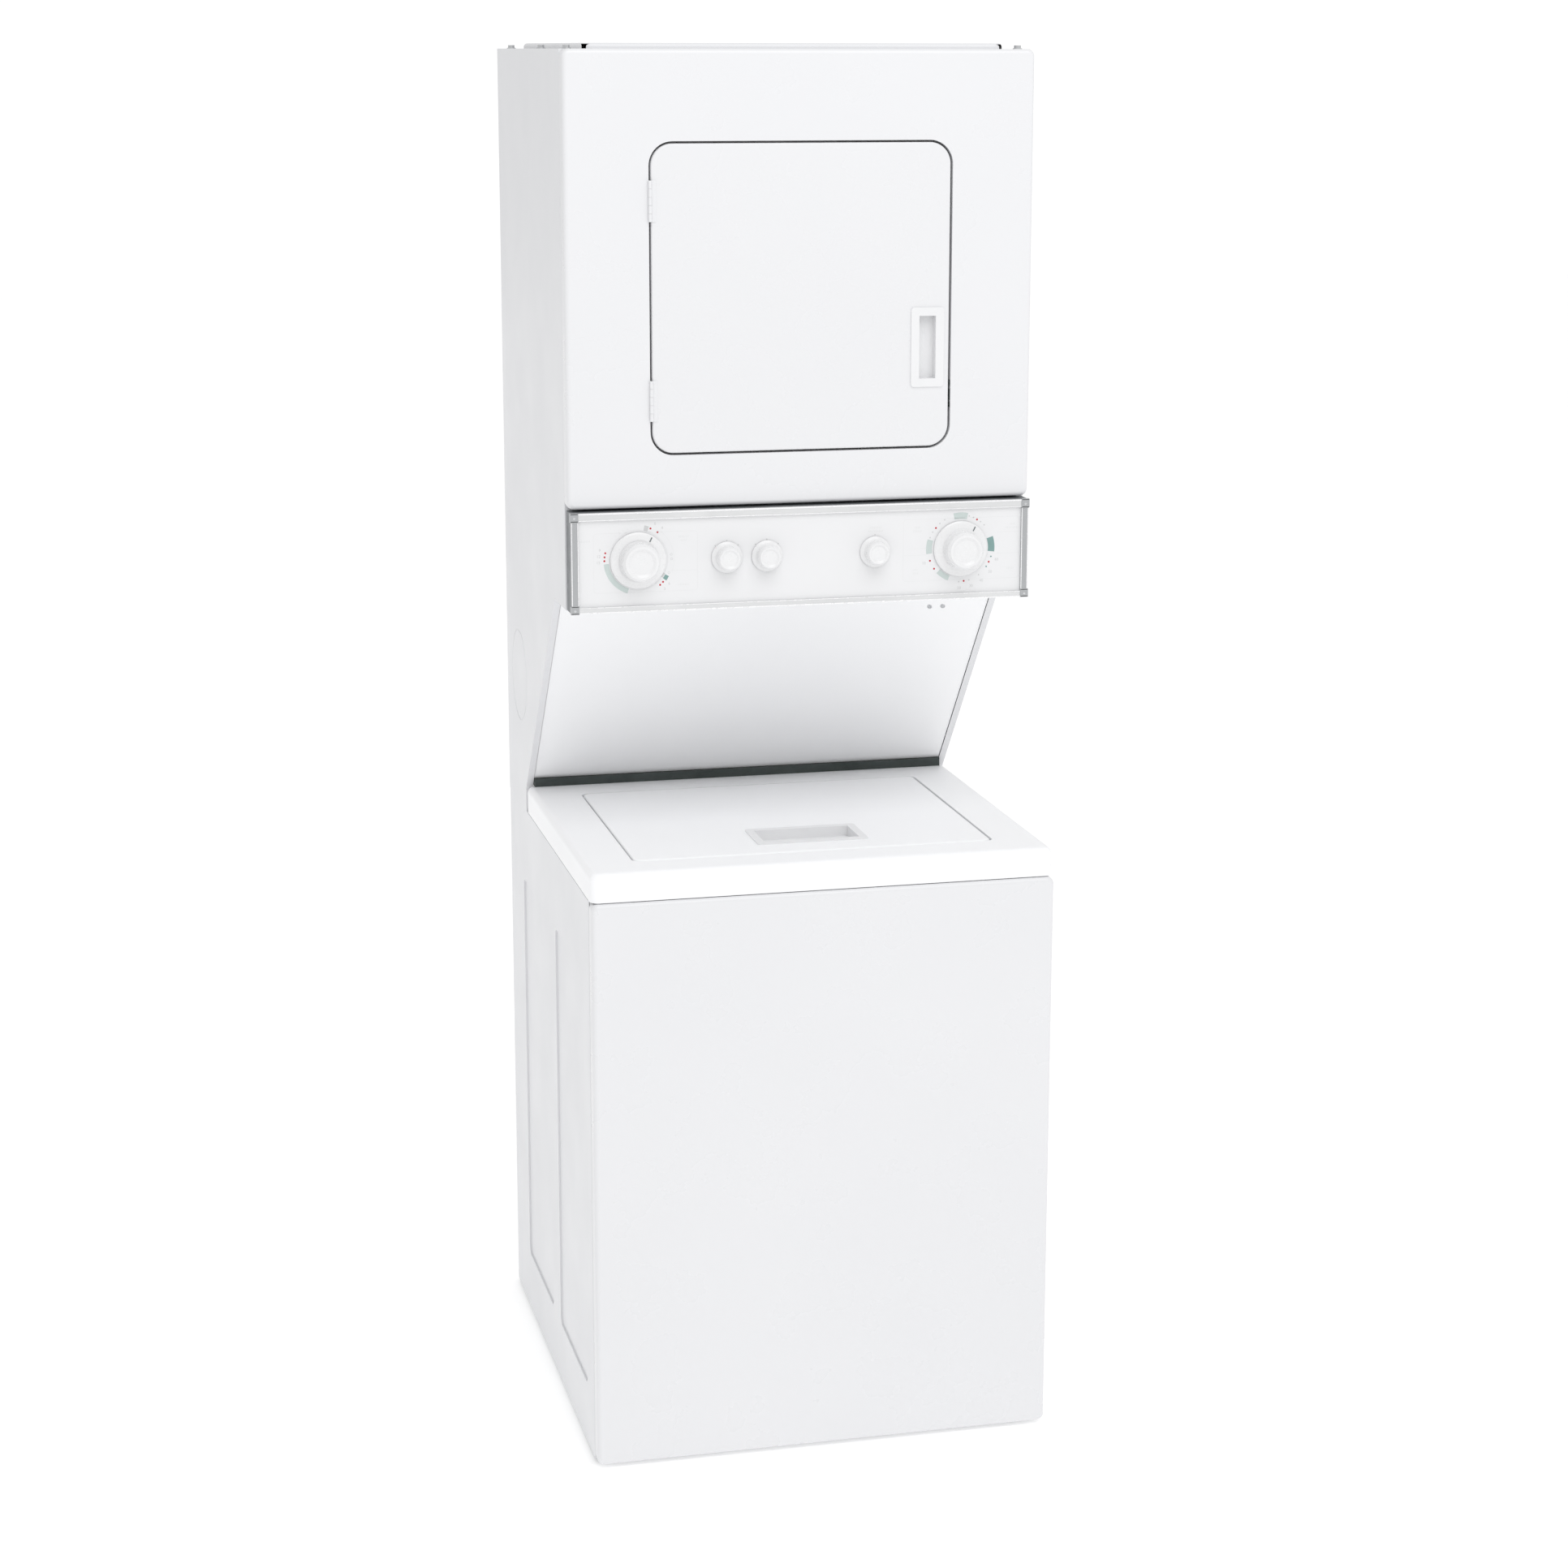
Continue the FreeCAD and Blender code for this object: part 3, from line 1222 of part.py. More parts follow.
def motor_centre():
    return d["motor_across"], d["motor_height"]


def dryer_motor():
    """Motor on a bracket that stands out from the back panel, with the idler's arm."""
    x, z = motor_centre()
    can = rod("drum_motor_can", 55, "y", (x, z), MOTOR_BACK, MOTOR_BACK + MOTOR_LONG)
    bracket = block("drum_motor_bracket", (x - 70, 2 * d["sheet"], z - 62),
                    (x + 70, MOTOR_BACK + MOTOR_LONG, z - 53))
    idler_x, idler_z = idler_centre()
    arm = block("idler_arm", (x - 66, MOTOR_BACK - 4, z - 60), (x - 54, MOTOR_BACK, idler_z + 10))
    reach = block("idler_reach", (idler_x - 8, MOTOR_BACK - 4, idler_z - 8),
                  (x - 54, MOTOR_BACK, idler_z + 8))
    pin = rod("idler_pin", 4, "y", (idler_x, idler_z), MOTOR_BACK - 18, MOTOR_BACK)
    bore = rod("drum_motor_bore", 7.3, "y", (x, z), MOTOR_BACK - 5, MOTOR_BACK + MOTOR_LONG + 1)
    post = block("idler_post", (x - 66, MOTOR_BACK - 4, z - 62), (x - 54, MOTOR_BACK + 6, z - 53))
    node("dryer_motor", cut("drum_motor", fuse("drum_motor_solid", can, bracket, arm, reach, pin, post),
                            bore))


def idler_centre():
    """Centre of the wheel that lies against the outside of the belt's left run."""
    x, z = motor_centre()
    drop = DOOR_MID - z
    apart = root_of(x * x + drop * drop)
    along = (d["drum_radius"] - d["drum_pulley_radius"]) / apart
    across = root_of(1 - along * along)
    normal = ((along * x - across * drop) / apart, -1 * (along * drop + across * x) / apart)
    out = d["drum_pulley_radius"] + d["belt_thick"] + 2 * d["fit_gap"] + d["idler_radius"]
    up = 70
    return x + normal[0] * out + normal[1] * up, z + normal[1] * out - normal[0] * up


def idler_wheel():
    outline = [(4 + d["pin_gap"], MOTOR_BACK - 15), (d["idler_radius"], MOTOR_BACK - 15),
               (d["idler_radius"], MOTOR_BACK - 5), (4 + d["pin_gap"], MOTOR_BACK - 5)]
    node("idler_wheel", turned("idler_body", outline, idler_centre(), "y"))


def dryer_motor_shaft():
    """Motor shaft with the belt pulley at its rear end."""
    radius = d["drum_pulley_radius"]
    low = MOTOR_BACK - 16
    outline = [(0, low), (radius + 3, low), (radius + 3, low + 1.5), (radius, low + 2), (radius, low + 12),
               (radius + 3, low + 12.5), (radius + 3, low + 14), (7, low + 14),
               (7, MOTOR_BACK + MOTOR_LONG + 70), (0, MOTOR_BACK + MOTOR_LONG + 70)]
    node("dryer_motor_shaft", turned("shaft_body", outline, motor_centre(), "y"))


def dryer_belt():
    """Belt round drum and motor pulley."""
    gap = number(d["fit_gap"])
    drum = (0, number(DOOR_MID))
    pulley = tuple(number(v) for v in motor_centre())
    face = belt_loop(drum, number(d["drum_radius"]) + gap, pulley, number(d["drum_pulley_radius"]) + gap,
                     d["belt_thick"])
    belt = face.extrude(Vector(0, 0, 8))
    belt.rotate(Vector(), Vector(1, 0, 0), 90)
    belt.translate(Vector(0, number(ahead(MOTOR_BACK - 13)), 0))
    node("dryer_belt", made("dryer_belt_body", belt))


BLOWER_BACK = MOTOR_BACK + MOTOR_LONG + 8
BLOWER_DEEP = 66


def blower_wheel():
    """Wheel with a back disc, a hub and ten vanes."""
    x, z = motor_centre()
    back = BLOWER_BACK + 6
    disc = rod("wheel_disc", d["blower_radius"], "y", (x, z), back, back + 2)
    hub = rod("wheel_hub", 14, "y", (x, z), back, back + 30)
    rim = tube("wheel_rim", d["blower_radius"], d["blower_radius"] - 14, "y", (x, z), back + 46, back + 48)
    vanes = []
    count = 10
    for index in range(count):
        vane = block("wheel_vane", (-1, 0, 0), (1, 47, d["blower_radius"] * 0.2))
        angle = 360 * index / count
        reach = d["blower_radius"] - 16.5
        vane.Placement = FreeCAD.Placement(Vector(), Rotation(Vector(0, 1, 0), angle))
        swing = math.radians(angle)
        place(vane, x + reach * math.sin(swing) - math.cos(swing), ahead(back + 48),
              z + reach * math.cos(swing) + math.sin(swing))
        vanes.append(vane)
    bore = rod("wheel_bore", 7, "y", (x, z), back - 1, back + 31)
    node("blower_wheel", cut("wheel", fuse("wheel_solid", disc, hub, rim, *vanes), bore))


def blower_housing():
    """Round scroll with an inlet in front, a shaft hole behind and a chute down to the duct."""
    x, z = motor_centre()
    front = BLOWER_BACK + BLOWER_DEEP
    radius = d["blower_radius"] + 12
    scroll = rod("scroll_outer", radius, "y", (x, z), BLOWER_BACK, front)
    chute = block("scroll_chute", (x + 8, BLOWER_BACK, z - radius - 4), (x + radius, front, z))
    room = rod("scroll_room", radius - 2, "y", (x, z), BLOWER_BACK + 2, front - 2)
    way = block("scroll_way", (x + 10, BLOWER_BACK + 2, z - radius - 5), (x + radius - 2, front - 2, z))
    inlet = rod("scroll_inlet", 52, "y", (x, z), front - 3, front + 1)
    back = rod("scroll_back", 10, "y", (x, z), BLOWER_BACK - 1, BLOWER_BACK + 3)
    node("blower_housing", cut("scroll", fuse("scroll_solid", scroll, chute), room, way, inlet, back))


def exhaust_duct():
    """Duct from the blower chute to the four inch collar behind the machine."""
    x, z = motor_centre()
    radius = d["blower_radius"] + 12
    high = z - radius - 4
    across = d["vent_across"]
    level = d["vent_height"]
    front = BLOWER_BACK + BLOWER_DEEP
    chute = block("duct_chute", (x + 8, BLOWER_BACK, level), (x + radius, front, high))
    way = block("duct_way", (x + 10, BLOWER_BACK + 2, level), (x + radius - 2, front - 2, high + 1))
    pipe = rod("duct_pipe", d["vent_radius"], "y", (across, level), -d["vent_reach"], front - 24)
    bead = rod("duct_bead", d["vent_radius"] + 5, "y", (across, level), -3, 0)
    bore = rod("duct_bore", d["vent_radius"] - 1, "y", (across, level), -d["vent_reach"] - 1, front - 26)
    node("exhaust_duct", cut("duct", fuse("duct_solid", chute, pipe, bead), way, bore))


# ---- controls ----

HUB_WALL = 3


def knob_spots():
    """Place across of each knob."""
    return {"washer_timer": d["washer_timer_across"], "temp": d["temp_across"], "load": d["load_across"],
            "start": d["start_across"], "dryer_timer": d["dryer_timer_across"]}


def shaft_of(key):
    """Radius of a knob's own shaft."""
    return d["timer_shaft"] if key.endswith("timer") else d["knob_shaft"]


def shaft_holes(name, start, end):
    """Holes for every knob shaft, and for the dial's hub, through a wall of the control panel."""
    holes = []
    for key, across in knob_spots().items():
        hub = HUB_WALL if key == "washer_timer" else 0
        radius = shaft_of(key) + hub + 0.4
        holes.append(rod(name, radius, "y", (across, d["knob_height"]), start, end))
    return holes


def control_housing():
    """Plastic tray behind the face plate, open to the rear."""
    edge = HALF - 2
    front = FACE - 2
    back = d["dryer_depth"] - d["dryer_pan"] + d["fit_gap"]
    outer = block("tray_outer", (-edge, back, d["control_low"]), (edge, front, CONTROL_TOP))
    room = block("tray_room", (-edge + 2, back - 1, d["control_low"] + 2),
                 (edge - 2, front - 2, CONTROL_TOP - 2))
    node("control_housing", cut("tray", outer, room, *shaft_holes("tray_hole", front - 3, front + 1)))


def control_face():
    edge = HALF - 11.5
    plate = block("plate_block", (-edge, FACE - 2, d["control_low"] + 8), (edge, FACE, CONTROL_TOP - 10))
    node("control_face", cut("plate", plate, *shaft_holes("plate_hole", FACE - 3, FACE + 1)))


def panel_trim():
    """Metal frame: top and bottom rails, two end strips and four corner caps."""
    inner = HALF - 11.5
    outer = HALF - 2
    low = d["control_low"]
    top = CONTROL_TOP
    back = FACE - 2
    front = d["dryer_depth"] + d["control_proud"]
    parts = [block("rail_top", (-inner, back, top - 10), (inner, front, top)),
             block("rail_low", (-inner, back, low), (inner, front, low + 8))]
    for side in SIDES:
        near, far = (inner, outer) if side > 0 else (-outer, -inner)
        parts.append(block("end_strip", (near, back, low + 10), (far, front, top - 11)))
        cap_near, cap_far = (inner, outer + 1) if side > 0 else (-outer - 1, -inner)
        parts.append(block("cap_top", (cap_near, back, top - 11), (cap_far, front + 1, top + 0.5)))
        parts.append(block("cap_low", (cap_near, back, low - 0.5), (cap_far, front + 1, low + 10)))
    node("panel_trim", group("trim_parts", *parts))


def switch_cases():
    """Two timers and three rotary switches behind the panel, and the lid and door switches."""
    front = FACE - 4
    cases = []
    for key, across in knob_spots().items():
        half, deep = (30, 40) if key.endswith("timer") else (15, 24)
        centre = (across, d["knob_height"])
        radius = shaft_of(key) + d["fit_gap"]
        case = block("switch_case", (across - half, front - deep, d["knob_height"] - half),
                     (across + half, front, d["knob_height"] + half))
        bores = [rod("switch_bore", radius, "y", centre, front - deep + 3, front + 1)]
        if key == "washer_timer":
            bores.append(rod("dial_bore", radius + HUB_WALL, "y", centre, front - 12, front + 1))
        cases.append(cut("switch", case, *bores))
    node("switch_cases", group("switches", lid_switch_body(), door_switch_body(), *cases))


def washer_timer_dial():
    """Skirt round the washer timer knob, on a hollow hub that turns in the timer."""
    shaft = d["timer_shaft"]
    rim = d["dial_radius"]
    hub = shaft + HUB_WALL
    outline = [(shaft + d["fit_gap"], FACE - 14), (hub, FACE - 14), (hub, FACE + 1), (rim, FACE + 1),
               (rim, FACE + 3), (rim - 2, FACE + 4.5), (d["grip_radius"] + 2, FACE + 6.5),
               (shaft + d["fit_gap"], FACE + 6.5)]
    node("washer_timer_dial", turned("dial_body", outline, (d["washer_timer_across"], d["knob_height"]),
                                     "y"))


def grip_outline(radius, low, high, shaft, shaft_low):
    """Outline of a knob: waisted side, rounded rim and a dished end."""
    dish = radius * 0.72
    return [(0, shaft_low), (shaft, shaft_low), (shaft, low), (radius, low), (radius - 1, low + 6),
            (radius - 1.5, high - 4), (radius - 4.5, high), (dish, high), (dish * 0.8, high - 2),
            (0, high - 2.6)]


def washer_timer_knob():
    outline = grip_outline(d["grip_radius"], FACE + 6.8, FACE + d["timer_reach"], d["timer_shaft"],
                           FACE - 36)
    node("washer_timer_knob", turned("washer_knob_body", outline,
                                     (d["washer_timer_across"], d["knob_height"]), "y"))


def dryer_timer_knob():
    shaft = d["timer_shaft"]
    rim = d["dial_radius"]
    grip = d["grip_radius"]
    high = FACE + d["timer_reach"]
    dish = grip * 0.72
    outline = [(0, FACE - 36), (shaft, FACE - 36), (shaft, FACE + 1), (rim, FACE + 1), (rim, FACE + 3),
               (rim - 2, FACE + 4.5), (grip + 2, FACE + 6.5), (grip, FACE + 7), (grip - 1, FACE + 13),
               (grip - 1.5, high - 4), (grip - 4.5, high), (dish, high), (dish * 0.8, high - 2),
               (0, high - 2.6)]
    node("dryer_timer_knob", turned("dryer_knob_body", outline, (d["dryer_timer_across"], d["knob_height"]),
                                    "y"))


def small_knob(name, across):
    """Round dished grip on a thin skirt, with its shaft."""
    shaft = d["knob_shaft"]
    grip = d["knob_radius"]
    skirt = d["skirt_radius"]
    high = FACE + d["knob_reach"]
    dish = grip * 0.75
    outline = [(0, FACE - 22), (shaft, FACE - 22), (shaft, FACE + 1), (skirt, FACE + 1),
               (skirt, FACE + 2.5), (grip + 1.5, FACE + 4.5), (grip, FACE + 6), (grip - 0.8, high - 3),
               (grip - 2.5, high), (dish, high), (dish * 0.8, high - 1.5), (0, high - 2.2)]
    node(name, turned(name + "_body", outline, (across, d["knob_height"]), "y"))


# ---- fasteners ----

def screws():
    """Hex screws on the top flanges and at the top of the service panel."""
    items = []
    across = HALF - 12
    for side in SIDES:
        for distance in (50, 300, 490):
            spot = (side * across, distance)
            washer = rod("screw_washer", 6, "z", spot, d["dryer_high"], d["dryer_high"] + 1)
            head = rod("screw_head", 4.4, "z", spot, d["dryer_high"] + 1, d["dryer_high"] + 4.5)
            items.append(fuse("screw", washer, head))
    node("screws", group("screw_set", *items))


def build_all():
    for make in (washer_base, levelling_feet, washer_cabinet, washer_front_panel, washer_top, washer_lid,
                 lid_handle, hinge_pins, lid_switch_plunger, outer_tub, suspension_rods, wash_basket,
                 balance_ring, agitator, gearcase, washer_pulleys, washer_belt, washer_motor, drain_pump,
                 drain_hoses, water_valve, dryer_back_panel, cord_gland, sloped_panel, seal_strip,
                 dryer_front_panel, dryer_top, door_outer, door_inner, door_seal, door_handle,
                 hinge_frame_leaves, hinge_door_leaves, door_catch, door_switch_plunger,
                 dryer_drum, front_bulkhead, lint_filter, rear_bulkhead, dryer_motor, idler_wheel,
                 dryer_motor_shaft, dryer_belt, blower_wheel, blower_housing, exhaust_duct, control_housing,
                 control_face, panel_trim, switch_cases, washer_timer_dial, washer_timer_knob,
                 dryer_timer_knob, screws):
        make()
    dryer_side("dryer_side_left", -1)
    dryer_side("dryer_side_right", 1)
    small_knob("temp_knob", d["temp_across"])
    small_knob("load_knob", d["load_across"])
    small_knob("start_knob", d["start_across"])


def check_all():
    """Stop if any feature failed or any sub-part is not a sound solid."""
    document.recompute()
    for item in document.Objects:
        if "Invalid" in item.State or "Error" in item.State:
            raise RuntimeError("%s did not rebuild" % item.Name)
    for name, item in nodes.items():
        if item.Shape.isNull() or not item.Shape.isValid() or not item.Shape.Solids:
            raise RuntimeError("%s is not a sound solid" % name)


def write_all():
    os.makedirs("parts", exist_ok=True)
    for name, item in nodes.items():
        item.Shape.exportStep("parts/%s.step" % name)
    print("%d sub-parts" % len(nodes))


build_all()
check_all()
write_all()
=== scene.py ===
import math
import bpy
from mathutils import Matrix, Vector


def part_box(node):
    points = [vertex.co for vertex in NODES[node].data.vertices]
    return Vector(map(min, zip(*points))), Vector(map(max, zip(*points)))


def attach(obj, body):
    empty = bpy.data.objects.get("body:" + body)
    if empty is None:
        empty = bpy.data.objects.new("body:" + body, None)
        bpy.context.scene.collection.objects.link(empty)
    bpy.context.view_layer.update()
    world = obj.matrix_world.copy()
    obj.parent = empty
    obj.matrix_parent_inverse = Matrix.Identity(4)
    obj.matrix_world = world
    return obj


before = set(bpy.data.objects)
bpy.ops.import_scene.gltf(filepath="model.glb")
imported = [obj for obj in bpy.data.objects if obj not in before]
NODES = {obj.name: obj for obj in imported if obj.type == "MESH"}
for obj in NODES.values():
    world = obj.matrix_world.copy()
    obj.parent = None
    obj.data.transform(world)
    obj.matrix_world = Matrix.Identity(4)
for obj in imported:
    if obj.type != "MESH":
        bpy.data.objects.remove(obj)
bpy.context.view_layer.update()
MM = 0.001


# ---- node helpers; x and y only lay the nodes out in the editor ----

MIX_SHARE, MIX_FIRST, MIX_SECOND, MIX_RESULT = 0, 6, 7, 2


def add(tree, kind, x=0, y=0, **settings):
    node = tree.nodes.new(kind)
    node.location = (x, y)
    for key, value in settings.items():
        setattr(node, key, value)
    return node


def feed(tree, node, socket, value):
    """Set a socket to a plain value, or link it to another node's output."""
    if isinstance(value, bpy.types.NodeSocket):
        tree.links.new(value, node.inputs[socket])
    else:
        node.inputs[socket].default_value = value


def work_out(tree, operation, first, second, x=0, y=0):
    """One step of arithmetic on two values."""
    node = add(tree, "ShaderNodeMath", x, y, operation=operation)
    feed(tree, node, 0, first)
    feed(tree, node, 1, second)
    return node.outputs[0]


def spread(tree, value, low, high, to_low, to_high, x=0, y=0):
    """Stretch a value's range from low and high to another pair, and stop at its ends."""
    node = add(tree, "ShaderNodeMapRange", x, y, clamp=True)
    for socket, item in enumerate((value, low, high, to_low, to_high)):
        feed(tree, node, socket, item)
    return node.outputs[0]


def blend_colours(tree, share, first, second, x=0, y=0):
    node = add(tree, "ShaderNodeMix", x, y, data_type="RGBA")
    feed(tree, node, MIX_SHARE, share)
    feed(tree, node, MIX_FIRST, first)
    feed(tree, node, MIX_SECOND, second)
    return node.outputs[MIX_RESULT]


def noise_on(tree, vector, scale, x, y, detail=2.0):
    node = add(tree, "ShaderNodeTexNoise", x, y)
    feed(tree, node, "Vector", vector)
    feed(tree, node, "Scale", scale)
    feed(tree, node, "Detail", detail)
    return node.outputs["Fac"]


def wave_along(tree, vector, direction, scale):
    node = add(tree, "ShaderNodeTexWave", -450, -400, bands_direction=direction)
    feed(tree, node, "Vector", vector)
    feed(tree, node, "Scale", scale)
    return node.outputs["Fac"]


def bump_over(tree, height, depth, normal=None, x=-100, y=-400):
    """Raise a surface by a height of a given depth, over the normal it already has."""
    node = add(tree, "ShaderNodeBump", x, y)
    feed(tree, node, "Strength", 1.0)
    feed(tree, node, "Distance", depth)
    feed(tree, node, "Height", height)
    if normal:
        feed(tree, node, "Normal", normal)
    return node.outputs["Normal"]


def split_place(tree, vector):
    axes = add(tree, "ShaderNodeSeparateXYZ", -650, -400)
    feed(tree, axes, 0, vector)
    return axes.outputs


def rgba(colour):
    return (*colour, 1.0)


def open_group(name, inputs, outputs):
    """A new shader node group with named sockets, and its input and output nodes."""
    group = bpy.data.node_groups.new(name, "ShaderNodeTree")
    for label, kind, value in inputs:
        socket = group.interface.new_socket(name=label, in_out="INPUT", socket_type=kind)
        if value is not None:
            socket.default_value = value
    for label, kind in outputs:
        group.interface.new_socket(name=label, in_out="OUTPUT", socket_type=kind)
    return group, add(group, "NodeGroupInput", -900), add(group, "NodeGroupOutput", 600)


# ---- shared effects ----

FLOAT = "NodeSocketFloat"
COLOUR = "NodeSocketColor"
VECTOR = "NodeSocketVector"


def edge_wear_group():
    """Mask that is bright where the surface turns a corner, broken up by noise."""
    group, source, out = open_group(
        "edge_wear",
        [("Vector", VECTOR, None), ("Width", FLOAT, 0.0012), ("Breakup", FLOAT, 90.0)],
        [("Mask", FLOAT)])
    rounded = add(group, "ShaderNodeBevel", -700, 200, samples=4)
    feed(group, rounded, "Radius", source.outputs["Width"])
    plain = add(group, "ShaderNodeNewGeometry", -700, 0)
    turn = add(group, "ShaderNodeVectorMath", -500, 100, operation="DOT_PRODUCT")
    feed(group, turn, 0, rounded.outputs["Normal"])
    feed(group, turn, 1, plain.outputs["Normal"])
    bend = spread(group, turn.outputs["Value"], 0.97, 0.72, 0.0, 1.0, -300, 100)
    noise = noise_on(group, source.outputs["Vector"], source.outputs["Breakup"], -500, -200, 3.0)
    rubbed = spread(group, noise, 0.42, 0.62, 0.25, 1.0, -300, -200)
    feed(group, out, "Mask", work_out(group, "MULTIPLY", bend, rubbed, -50, 0))
    return group


def surface_group():
    """Slow patches, fine grain, smears and worn edges: a colour, a roughness and a normal."""
    group, source, out = open_group(
        "surface_variation",
        [("Vector", VECTOR, None), ("Colour", COLOUR, (0.8, 0.8, 0.8, 1)),
         ("Shade", COLOUR, (0.7, 0.7, 0.7, 1)), ("Worn", COLOUR, (0.9, 0.9, 0.9, 1)),
         ("Wear", FLOAT, 0.3), ("Width", FLOAT, 0.0012), ("Patch Scale", FLOAT, 5.0),
         ("Grain Scale", FLOAT, 900.0), ("Grain Depth", FLOAT, 0.00002),
         ("Rough Low", FLOAT, 0.3), ("Rough High", FLOAT, 0.45)],
        [("Colour", COLOUR), ("Roughness", FLOAT), ("Normal", VECTOR)])
    vector = source.outputs["Vector"]
    patch = noise_on(group, vector, source.outputs["Patch Scale"], -700, 300, 4.0)
    grain = noise_on(group, vector, source.outputs["Grain Scale"], -700, 0, 2.0)
    smear_scale = work_out(group, "MULTIPLY", source.outputs["Patch Scale"], 4.3, -850, -300)
    smear = noise_on(group, vector, smear_scale, -700, -300, 5.0)
    wear = add(group, "ShaderNodeGroup", -450, -500, node_tree=EDGE_WEAR)
    feed(group, wear, "Vector", vector)
    feed(group, wear, "Width", source.outputs["Width"])
    mixed = spread(group, patch, 0.3, 0.7, 0.0, 1.0, -450, 300)
    toned = blend_colours(group, mixed, source.outputs["Colour"], source.outputs["Shade"],
                          -250, 300)
    worn = work_out(group, "MULTIPLY", wear.outputs["Mask"], source.outputs["Wear"], -250, -400)
    feed(group, out, "Colour",
         blend_colours(group, worn, toned, source.outputs["Worn"], 0, 300))
    feed(group, out, "Roughness",
         spread(group, smear, 0.3, 0.7, source.outputs["Rough Low"],
                source.outputs["Rough High"], -250, 0))
    feed(group, out, "Normal",
         bump_over(group, grain, source.outputs["Grain Depth"], x=0, y=-200))
    return group


EDGE_WEAR = edge_wear_group()
SURFACE = surface_group()


def start_finish(name):
    """A new material, its tree, its shader and the piece's own coordinates."""
    material = bpy.data.materials.new(name)
    material.use_nodes = True
    tree = material.node_tree
    place = add(tree, "ShaderNodeTexCoord", -900)
    return material, tree, tree.nodes["Principled BSDF"], place.outputs["Object"]


def finish(name, colour, shade, rough, grain, depth, worn=None, wear=0.3, patch=5.0, width=0.0012,
           metallic=0.0, coat=0.0, coat_rough=0.1, over=None):
    """A material from the shared surface group; over may change its colour and normal."""
    material, tree, shader, vector = start_finish(name)
    layer = add(tree, "ShaderNodeGroup", -450, node_tree=SURFACE)
    values = {"Vector": vector, "Colour": rgba(colour), "Shade": rgba(shade),
              "Worn": rgba(worn or colour), "Wear": wear, "Width": width, "Patch Scale": patch,
              "Grain Scale": grain, "Grain Depth": depth,
              "Rough Low": rough[0], "Rough High": rough[1]}
    for socket, value in values.items():
        feed(tree, layer, socket, value)
    colour_out = layer.outputs["Colour"]
    normal_out = layer.outputs["Normal"]
    if over:
        colour_out, normal_out = over(tree, vector, colour_out, normal_out)
    feed(tree, shader, "Base Color", colour_out)
    feed(tree, shader, "Roughness", layer.outputs["Roughness"])
    feed(tree, shader, "Normal", normal_out)
    shader.inputs["Metallic"].default_value = metallic
    shader.inputs["Coat Weight"].default_value = coat
    shader.inputs["Coat Roughness"].default_value = coat_rough
    return material


# ---- patterns that a finish may carry ----

def dark_ends(tree, vector, colour, normal):
    """Brushed rails, with painted shade: the upright strips at the two ends are painted a darker grey.
    """
    axes = split_place(tree, vector)
    squash = add(tree, "ShaderNodeMapping", -600, -500)
    feed(tree, squash, "Vector", vector)
    feed(tree, squash, "Scale", (6.0, 1400.0, 1400.0))
    brushed = noise_on(tree, squash.outputs[0], 1.0, -450, -500)
    strip_inner, strip_outer = 0.2910, 0.2916
    far = work_out(tree, "ABSOLUTE", axes["X"], 0.0, -450, -300)
    shaded_part = spread(tree, far, strip_inner, strip_outer, 0.0, 1.0, -250, -300)
    # painted shade: the trim's two ends blend to a darker grey
    tone = blend_colours(tree, shaded_part, colour, rgba((0.43, 0.44, 0.45)), -100, 100)
    return tone, bump_over(tree, brushed, 0.00001, normal)


def spangle(tree, vector, colour, normal):
    """Zinc crystals: cells of slightly different grey."""
    cells = add(tree, "ShaderNodeTexVoronoi", -450, -400)
    feed(tree, cells, "Vector", vector)
    feed(tree, cells, "Scale", 140.0)
    grey = add(tree, "ShaderNodeRGBToBW", -300, -400)
    feed(tree, grey, 0, cells.outputs["Color"])
    share = spread(tree, grey.outputs[0], 0.1, 0.9, 0.0, 0.45, -150, -400)
    tone = blend_colours(tree, share, colour, rgba((0.40, 0.42, 0.44)), 0, 100)
    return tone, bump_over(tree, grey.outputs[0], 0.00001, normal)


def ribs(tree, vector, colour, normal):
    """Fine moulded ribs across a belt or hose."""
    wave = wave_along(tree, vector, "DIAGONAL", 90.0)
    share = spread(tree, wave, 0.0, 1.0, 0.0, 0.3, -250, -400)
    tone = blend_colours(tree, share, colour, rgba((0.10, 0.10, 0.10)), 0, 100)
    return tone, bump_over(tree, wave, 0.0002, normal)


def woven(tree, vector, colour, normal):
    """The threads of the filter's fine screen."""
    across = wave_along(tree, vector, "X", 160.0)
    upright = wave_along(tree, vector, "Z", 160.0)
    knit = work_out(tree, "MULTIPLY", across, upright, -250, -400)
    share = spread(tree, knit, 0.1, 0.6, 0.0, 0.7, -100, -300)
    tone = blend_colours(tree, share, colour, rgba((0.30, 0.32, 0.34)), 0, 100)
    return tone, bump_over(tree, knit, 0.0003, normal)


# ---- finishes ----

def enamel(name, colour, shade, rough, grain, worn, patch, width):
    """Smooth baked enamel on sheet steel, hardly worn."""
    return finish(name, colour, shade, rough, grain, 0.00001, worn=worn, wear=0.10, patch=patch,
                  width=width)


def glazed(name, shade):
    """Fired porcelain under a clear glaze."""
    return finish(name, (0.82, 0.83, 0.84), shade, (0.12, 0.22), 700, 0.00002,
                  worn=(0.90, 0.90, 0.90), patch=6.0, coat=0.5, coat_rough=0.05)


def ink(name, colour, shade):
    """A thin printed layer."""
    return finish(name, colour, shade, (0.35, 0.45), 2200, 0.00002, patch=60.0)


